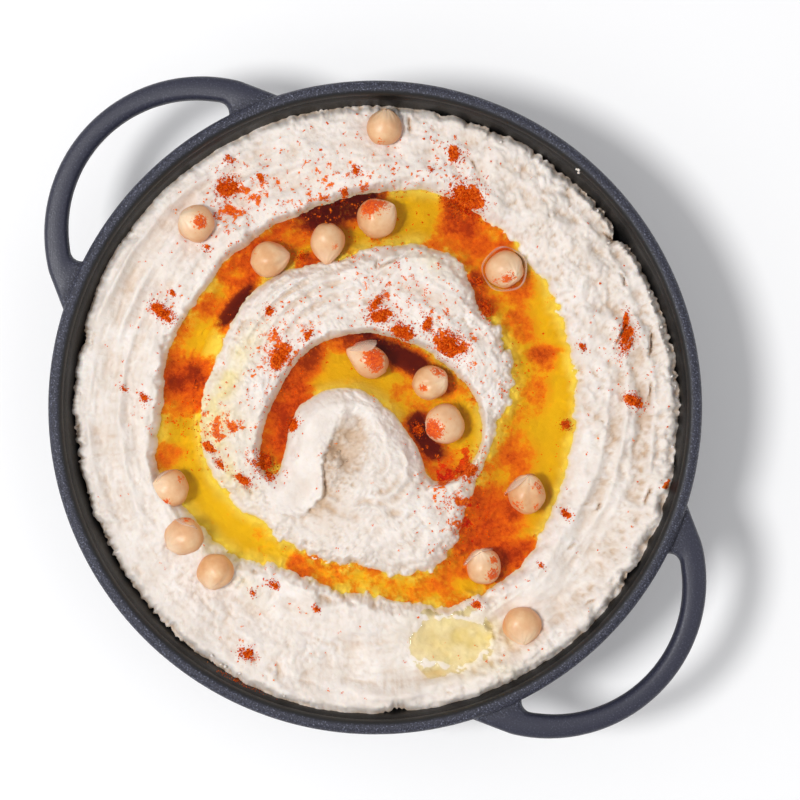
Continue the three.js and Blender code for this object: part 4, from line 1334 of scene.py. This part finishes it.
def make_skin(index, name, turn, lift, reach, stand_off, flare):
    """A loose skin: a cap of a sphere a little wider than its chickpea, ruffled at its edge,
    as a closed film."""
    thickness = 0.12
    middle, half = pea_place(name)
    rows, columns = 16, 64
    polar = np.radians(np.linspace(1, reach, rows))[:, None]
    azimuth = np.linspace(0, 2 * np.pi, columns, endpoint=False)[None, :]
    out = polar / polar[-1]
    ruffle = 1 + 0.03 * np.sin(5 * azimuth + index) * out**3
    ragged = polar * (1 + 0.08 * np.sin(3 * azimuth + 2 * index) * out**2)
    radius = half.mean() * 0.95 + stand_off * out**flare
    shells = [on_sphere((radius - inset) * ruffle, ragged, azimuth) for inset in (0, thickness)]
    count = rows * columns
    faces = grid_faces(rows, columns, 0, closed=True) + grid_faces(rows, columns, count, closed=True)
    rim = count - columns + np.arange(columns)
    faces += band(rim, rim + count)
    faces.append(list(range(columns)))
    faces.append(list(range(count, count + columns)))
    points = np.vstack(shells) @ pea_axes(turn, lift) + middle
    outward(mesh_piece(f"loose_skin_{index}", points, faces, SKIN, "chickpea"))


# ------------------------------------------------------------------ paprika and crumbs

# A grain is two pyramids base to base.
GRAIN_POINTS = np.array([(1, 0, 0), (-1, 0, 0), (0, 1, 0), (0, -1, 0), (0, 0, 1), (0, 0, -1)], float)
GRAIN_FACES = np.array(
    [(0, 2, 4), (2, 1, 4), (1, 3, 4), (3, 0, 4), (2, 0, 5), (1, 2, 5), (3, 1, 5), (0, 3, 5)]
)
GRAIN_SIZE = 0.42  # mm across: real grains are about 0.3, drawn coarser so that they show


def grains(name, places, sizes, rng, material, slot, shade=None):
    """Many small grains as one mesh: an eight-sided grain, stretched and turned at random, at
    each place."""
    count = len(places)
    q = rng.normal(size=(count, 4))
    q /= np.linalg.norm(q, axis=1)[:, None]
    w, x, y, z = q.T
    turn = np.stack(
        [
            1 - 2 * (y * y + z * z), 2 * (x * y - w * z), 2 * (x * z + w * y),
            2 * (x * y + w * z), 1 - 2 * (x * x + z * z), 2 * (y * z - w * x),
            2 * (x * z - w * y), 2 * (y * z + w * x), 1 - 2 * (x * x + y * y),
        ],
        -1,
    ).reshape(count, 3, 3)  # fmt: skip
    stretch = rng.uniform(0.6, 1.25, (count, 1, 3)) * sizes[:, None, None] / 2
    points = (GRAIN_POINTS[None] * stretch) @ turn + places[:, None, :]
    faces = (GRAIN_FACES[None] + 6 * np.arange(count)[:, None, None]).reshape(-1, 3)
    piece = mesh_piece(name, points.reshape(-1, 3), faces.tolist(), material, slot, smooth=False)
    if shade is None:
        shade = rng.uniform(0, 1, count)
    set_value(piece, "shade", np.repeat(shade, 6))
    return piece


def surface_height(x, y):
    """Top of the hummus or of the oil, whichever is higher, and whether it is oil."""
    ground = relief(x, y)
    oily = ground < OIL_LEVEL
    in_patch = (patch_share(x, y) > 0) & (ground < PATCH_LEVEL)
    height = np.where(oily, OIL_LEVEL, ground)
    return np.where(in_patch, PATCH_LEVEL, height), oily | in_patch


def clear_of_peas(x, y):
    """True where no chickpea stands."""
    free = np.ones(x.shape, bool)
    for name in CHICKPEAS:
        middle, half = pea_place(name)
        free &= np.hypot(x - middle[0], y - middle[1]) > half.mean() * 0.97
    return free


def scattered(spread, px, py, wide, tall, turn):
    """Random places, spread as a bell curve over an oval."""
    u, v = along_and_across(spread[:, 0] * wide, spread[:, 1] * tall, 0, 0, -turn)
    return np.stack([px + u, py + v], -1)


def make_paprika():
    """The heaps, piled highest at their middle, and the dustings and stray specks, denser
    where the hummus was dusted. Grains on oil are a piece of their own."""
    rng = np.random.default_rng(7)
    places, lift, shades = [], [], []
    for hx, hy, wide, tall, turn, thick in HEAPS:
        number = int(60 * wide * tall * thick + 10)
        spread = rng.normal(size=(number, 2)) * 0.62
        places.append(scattered(spread, hx, hy, wide, tall, turn))
        pile = 0.3 * thick * np.clip(1 - np.linalg.norm(spread, axis=1), 0, 1) * min(1, (wide + tall) / 6)
        lift.append(pile * rng.uniform(0.2, 1, number))
        shades.append(rng.uniform(0.0, 0.8, number))
    for hx, hy, wide, tall, turn, amount in DUSTINGS:
        number = int(0.9 * wide * tall * amount)
        spread = np.repeat(rng.normal(size=(number, 2)) * 0.75, 5, axis=0)
        fleck = rng.normal(0, 0.32, (5 * number, 2)) * rng.uniform(0.2, 1.3, (number, 1)).repeat(5, axis=0)
        places.append(scattered(spread, hx, hy, wide, tall, turn) + fleck)
        lift.append(np.zeros(5 * number))
        shades.append(rng.uniform(0.4, 1.0, 5 * number))
    stray = 200  # places, with three grains at each
    far = (REACH - 0.5) * np.sqrt(rng.uniform(0, 1, stray)).repeat(3)
    a = rng.uniform(0, 2 * np.pi, stray).repeat(3)
    stray_x = far * np.cos(a) + rng.normal(0, 0.25, 3 * stray)
    stray_y = far * np.sin(a) + rng.normal(0, 0.25, 3 * stray)
    places.append(np.stack([stray_x, stray_y], -1))
    lift.append(np.zeros(3 * stray))
    shades.append(rng.uniform(0.4, 1.0, 3 * stray))

    x, y = np.concatenate(places).T
    keep = (np.hypot(x, y) < REACH) & clear_of_peas(x, y)
    x, y, up, shade = x[keep], y[keep], np.concatenate(lift)[keep], np.concatenate(shades)[keep]
    size = np.exp(rng.normal(math.log(GRAIN_SIZE), 0.35, len(x))).clip(0.2, 0.85)
    size = np.where(up > 0, size, size * 0.85)
    height, oily = surface_height(x, y)
    places = stacked(x, y, height + up * np.where(oily, 0.35, 1) + size * 0.12)
    dry = ~oily
    grains("paprika_on_hummus", places[dry], size[dry], rng, DRY_PAPRIKA, "paprika", shade[dry])
    grains("paprika_on_oil", places[oily], size[oily], rng, WET_PAPRIKA, "paprika", shade[oily])


def make_crumbs():
    """Crumbs of hummus by the wall, and a clump of them on the rim at +Y."""
    rng = np.random.default_rng(19)
    count = 34
    a = np.radians(rng.choice([40, 60, 78, 100, 235, 290], count) + rng.normal(0, 7, count))
    r = edge_radius(np.degrees(a)) - np.abs(rng.normal(0, 0.8, count)) - 1.2
    x, y = r * np.cos(a), r * np.sin(a)
    size = np.r_[rng.uniform(0.9, 2.0, count), 2.8, 2.0, 1.7]
    rim = np.array([(-7.0, 90.6, -1.5), (-6.4, 90.0, -1.7), (-7.6, 90.3, -1.7)]) + (0, 0, PAN_HEIGHT)
    places = np.vstack([stacked(x, y, relief(x * 0.985, y * 0.985) - 0.1), rim])
    piece = grains("hummus_crumbs", places, size, rng, HUMMUS, "hummus", shade=np.zeros(len(places)))
    for name in ("hollow", "film", "stain"):
        set_value(piece, name, np.zeros(len(places) * 6))
    subdivide = piece.modifiers.new("rounded", "SUBSURF")
    subdivide.levels = subdivide.render_levels = 2
    apply_modifier(piece, "rounded")
    piece.data.shade_smooth()


def make_wall_dust():
    """A smear of paprika on the bare wall below the rim, toward 289 degrees."""
    rng = np.random.default_rng(23)
    count = 240
    a = np.radians(rng.normal(289, 2.6, count))
    z = rng.uniform(36.5, 42.5, count)
    r = wall_radius(z) - 0.1
    places = stacked(r * np.cos(a), r * np.sin(a), z)
    grains("paprika_on_wall", places, rng.uniform(0.15, 0.35, count), rng, DRY_PAPRIKA, "paprika")


# ------------------------------------------------------------------ stage


def area_light(name, turn, lift, distance, width, power):
    """A round lamp, `distance` metres away in a direction, that faces the dish."""
    light = bpy.data.lights.new(name, "AREA")
    light.energy = power
    light.shape = "DISK"
    light.size = width
    lamp = bpy.data.objects.new(name, light)
    lamp.location = direction(turn, lift) * distance
    lamp.rotation_euler = (math.radians(90 - lift), 0, math.radians(turn + 90))
    bpy.context.collection.objects.link(lamp)


def make_stage():
    """A white floor just under the pan, a soft key light from 232 degrees, a fill, a pale sky
    that is darker overhead, and the camera straight above, turned so that +X points down to
    the right."""
    reach, drop = 4.0, 0.0002  # metres
    mesh = bpy.data.meshes.new("floor")
    corners = [(-reach, -reach, -drop), (reach, -reach, -drop), (reach, reach, -drop), (-reach, reach, -drop)]
    mesh.from_pydata(corners, [], [(0, 1, 2, 3)])
    mesh.materials.append(PAPER)
    floor = bpy.data.objects.new("floor", mesh)
    bpy.context.collection.objects.link(floor)

    area_light("key_light", 232, 65, 1.2, 0.28, 9.2)
    area_light("fill_light", 40, 55, 1.6, 1.2, 2.5)

    world = bpy.data.worlds.new("studio")
    world.use_nodes = True
    tree = world.node_tree
    way = add_node(tree, "TexCoord", out="Generated")
    height = add_node(tree, "SeparateXYZ", out="Z", i_0=way)
    stops = [(0.0, "#FFFFFF"), (0.7, "#F4F4F6"), (0.95, "#8C8C92")]
    sky = add_node(tree, "ValToRGB", i_0=height, stops=stops)
    set_inputs(tree.nodes["Background"], Color=sky, Strength=0.64)
    bpy.context.scene.world = world

    camera = bpy.data.cameras.new("camera")
    camera.lens = 100
    camera.sensor_width = 36
    eye = bpy.data.objects.new("camera", camera)
    half_view = 115.85 / METRE
    above = half_view * camera.lens / (camera.sensor_width / 2)
    eye.location = (3.56 / METRE, 6.63 / METRE, PAN_HEIGHT / METRE + above)
    eye.rotation_euler = (0, 0, math.radians(45))
    bpy.context.collection.objects.link(eye)
    bpy.context.scene.camera = eye
    bpy.context.scene.view_settings.view_transform = "Standard"


# ------------------------------------------------------------------ the whole dish

make_pan()
make_hummus_middle(300)
make_hummus_outer(1100, 80)
make_ring_pool(720, 52)
make_pool_in("oil_hook_pool", (-32, -42), (38, 30), 0.45, near_hook, OIL_LEVEL, "oil_hook", OIL)
make_pool_in("oil_thin_pool", (50, -47), (79, -19), 0.4, near_patch, PATCH_LEVEL, "oil_patch", THIN_OIL)
for seed, (pea, facts) in enumerate(CHICKPEAS.items()):
    make_chickpea(pea, 200 + seed, *facts)
for index, facts in enumerate(SKINS):
    make_skin(index, *facts)
make_paprika()
make_crumbs()
make_wall_dust()
make_stage()
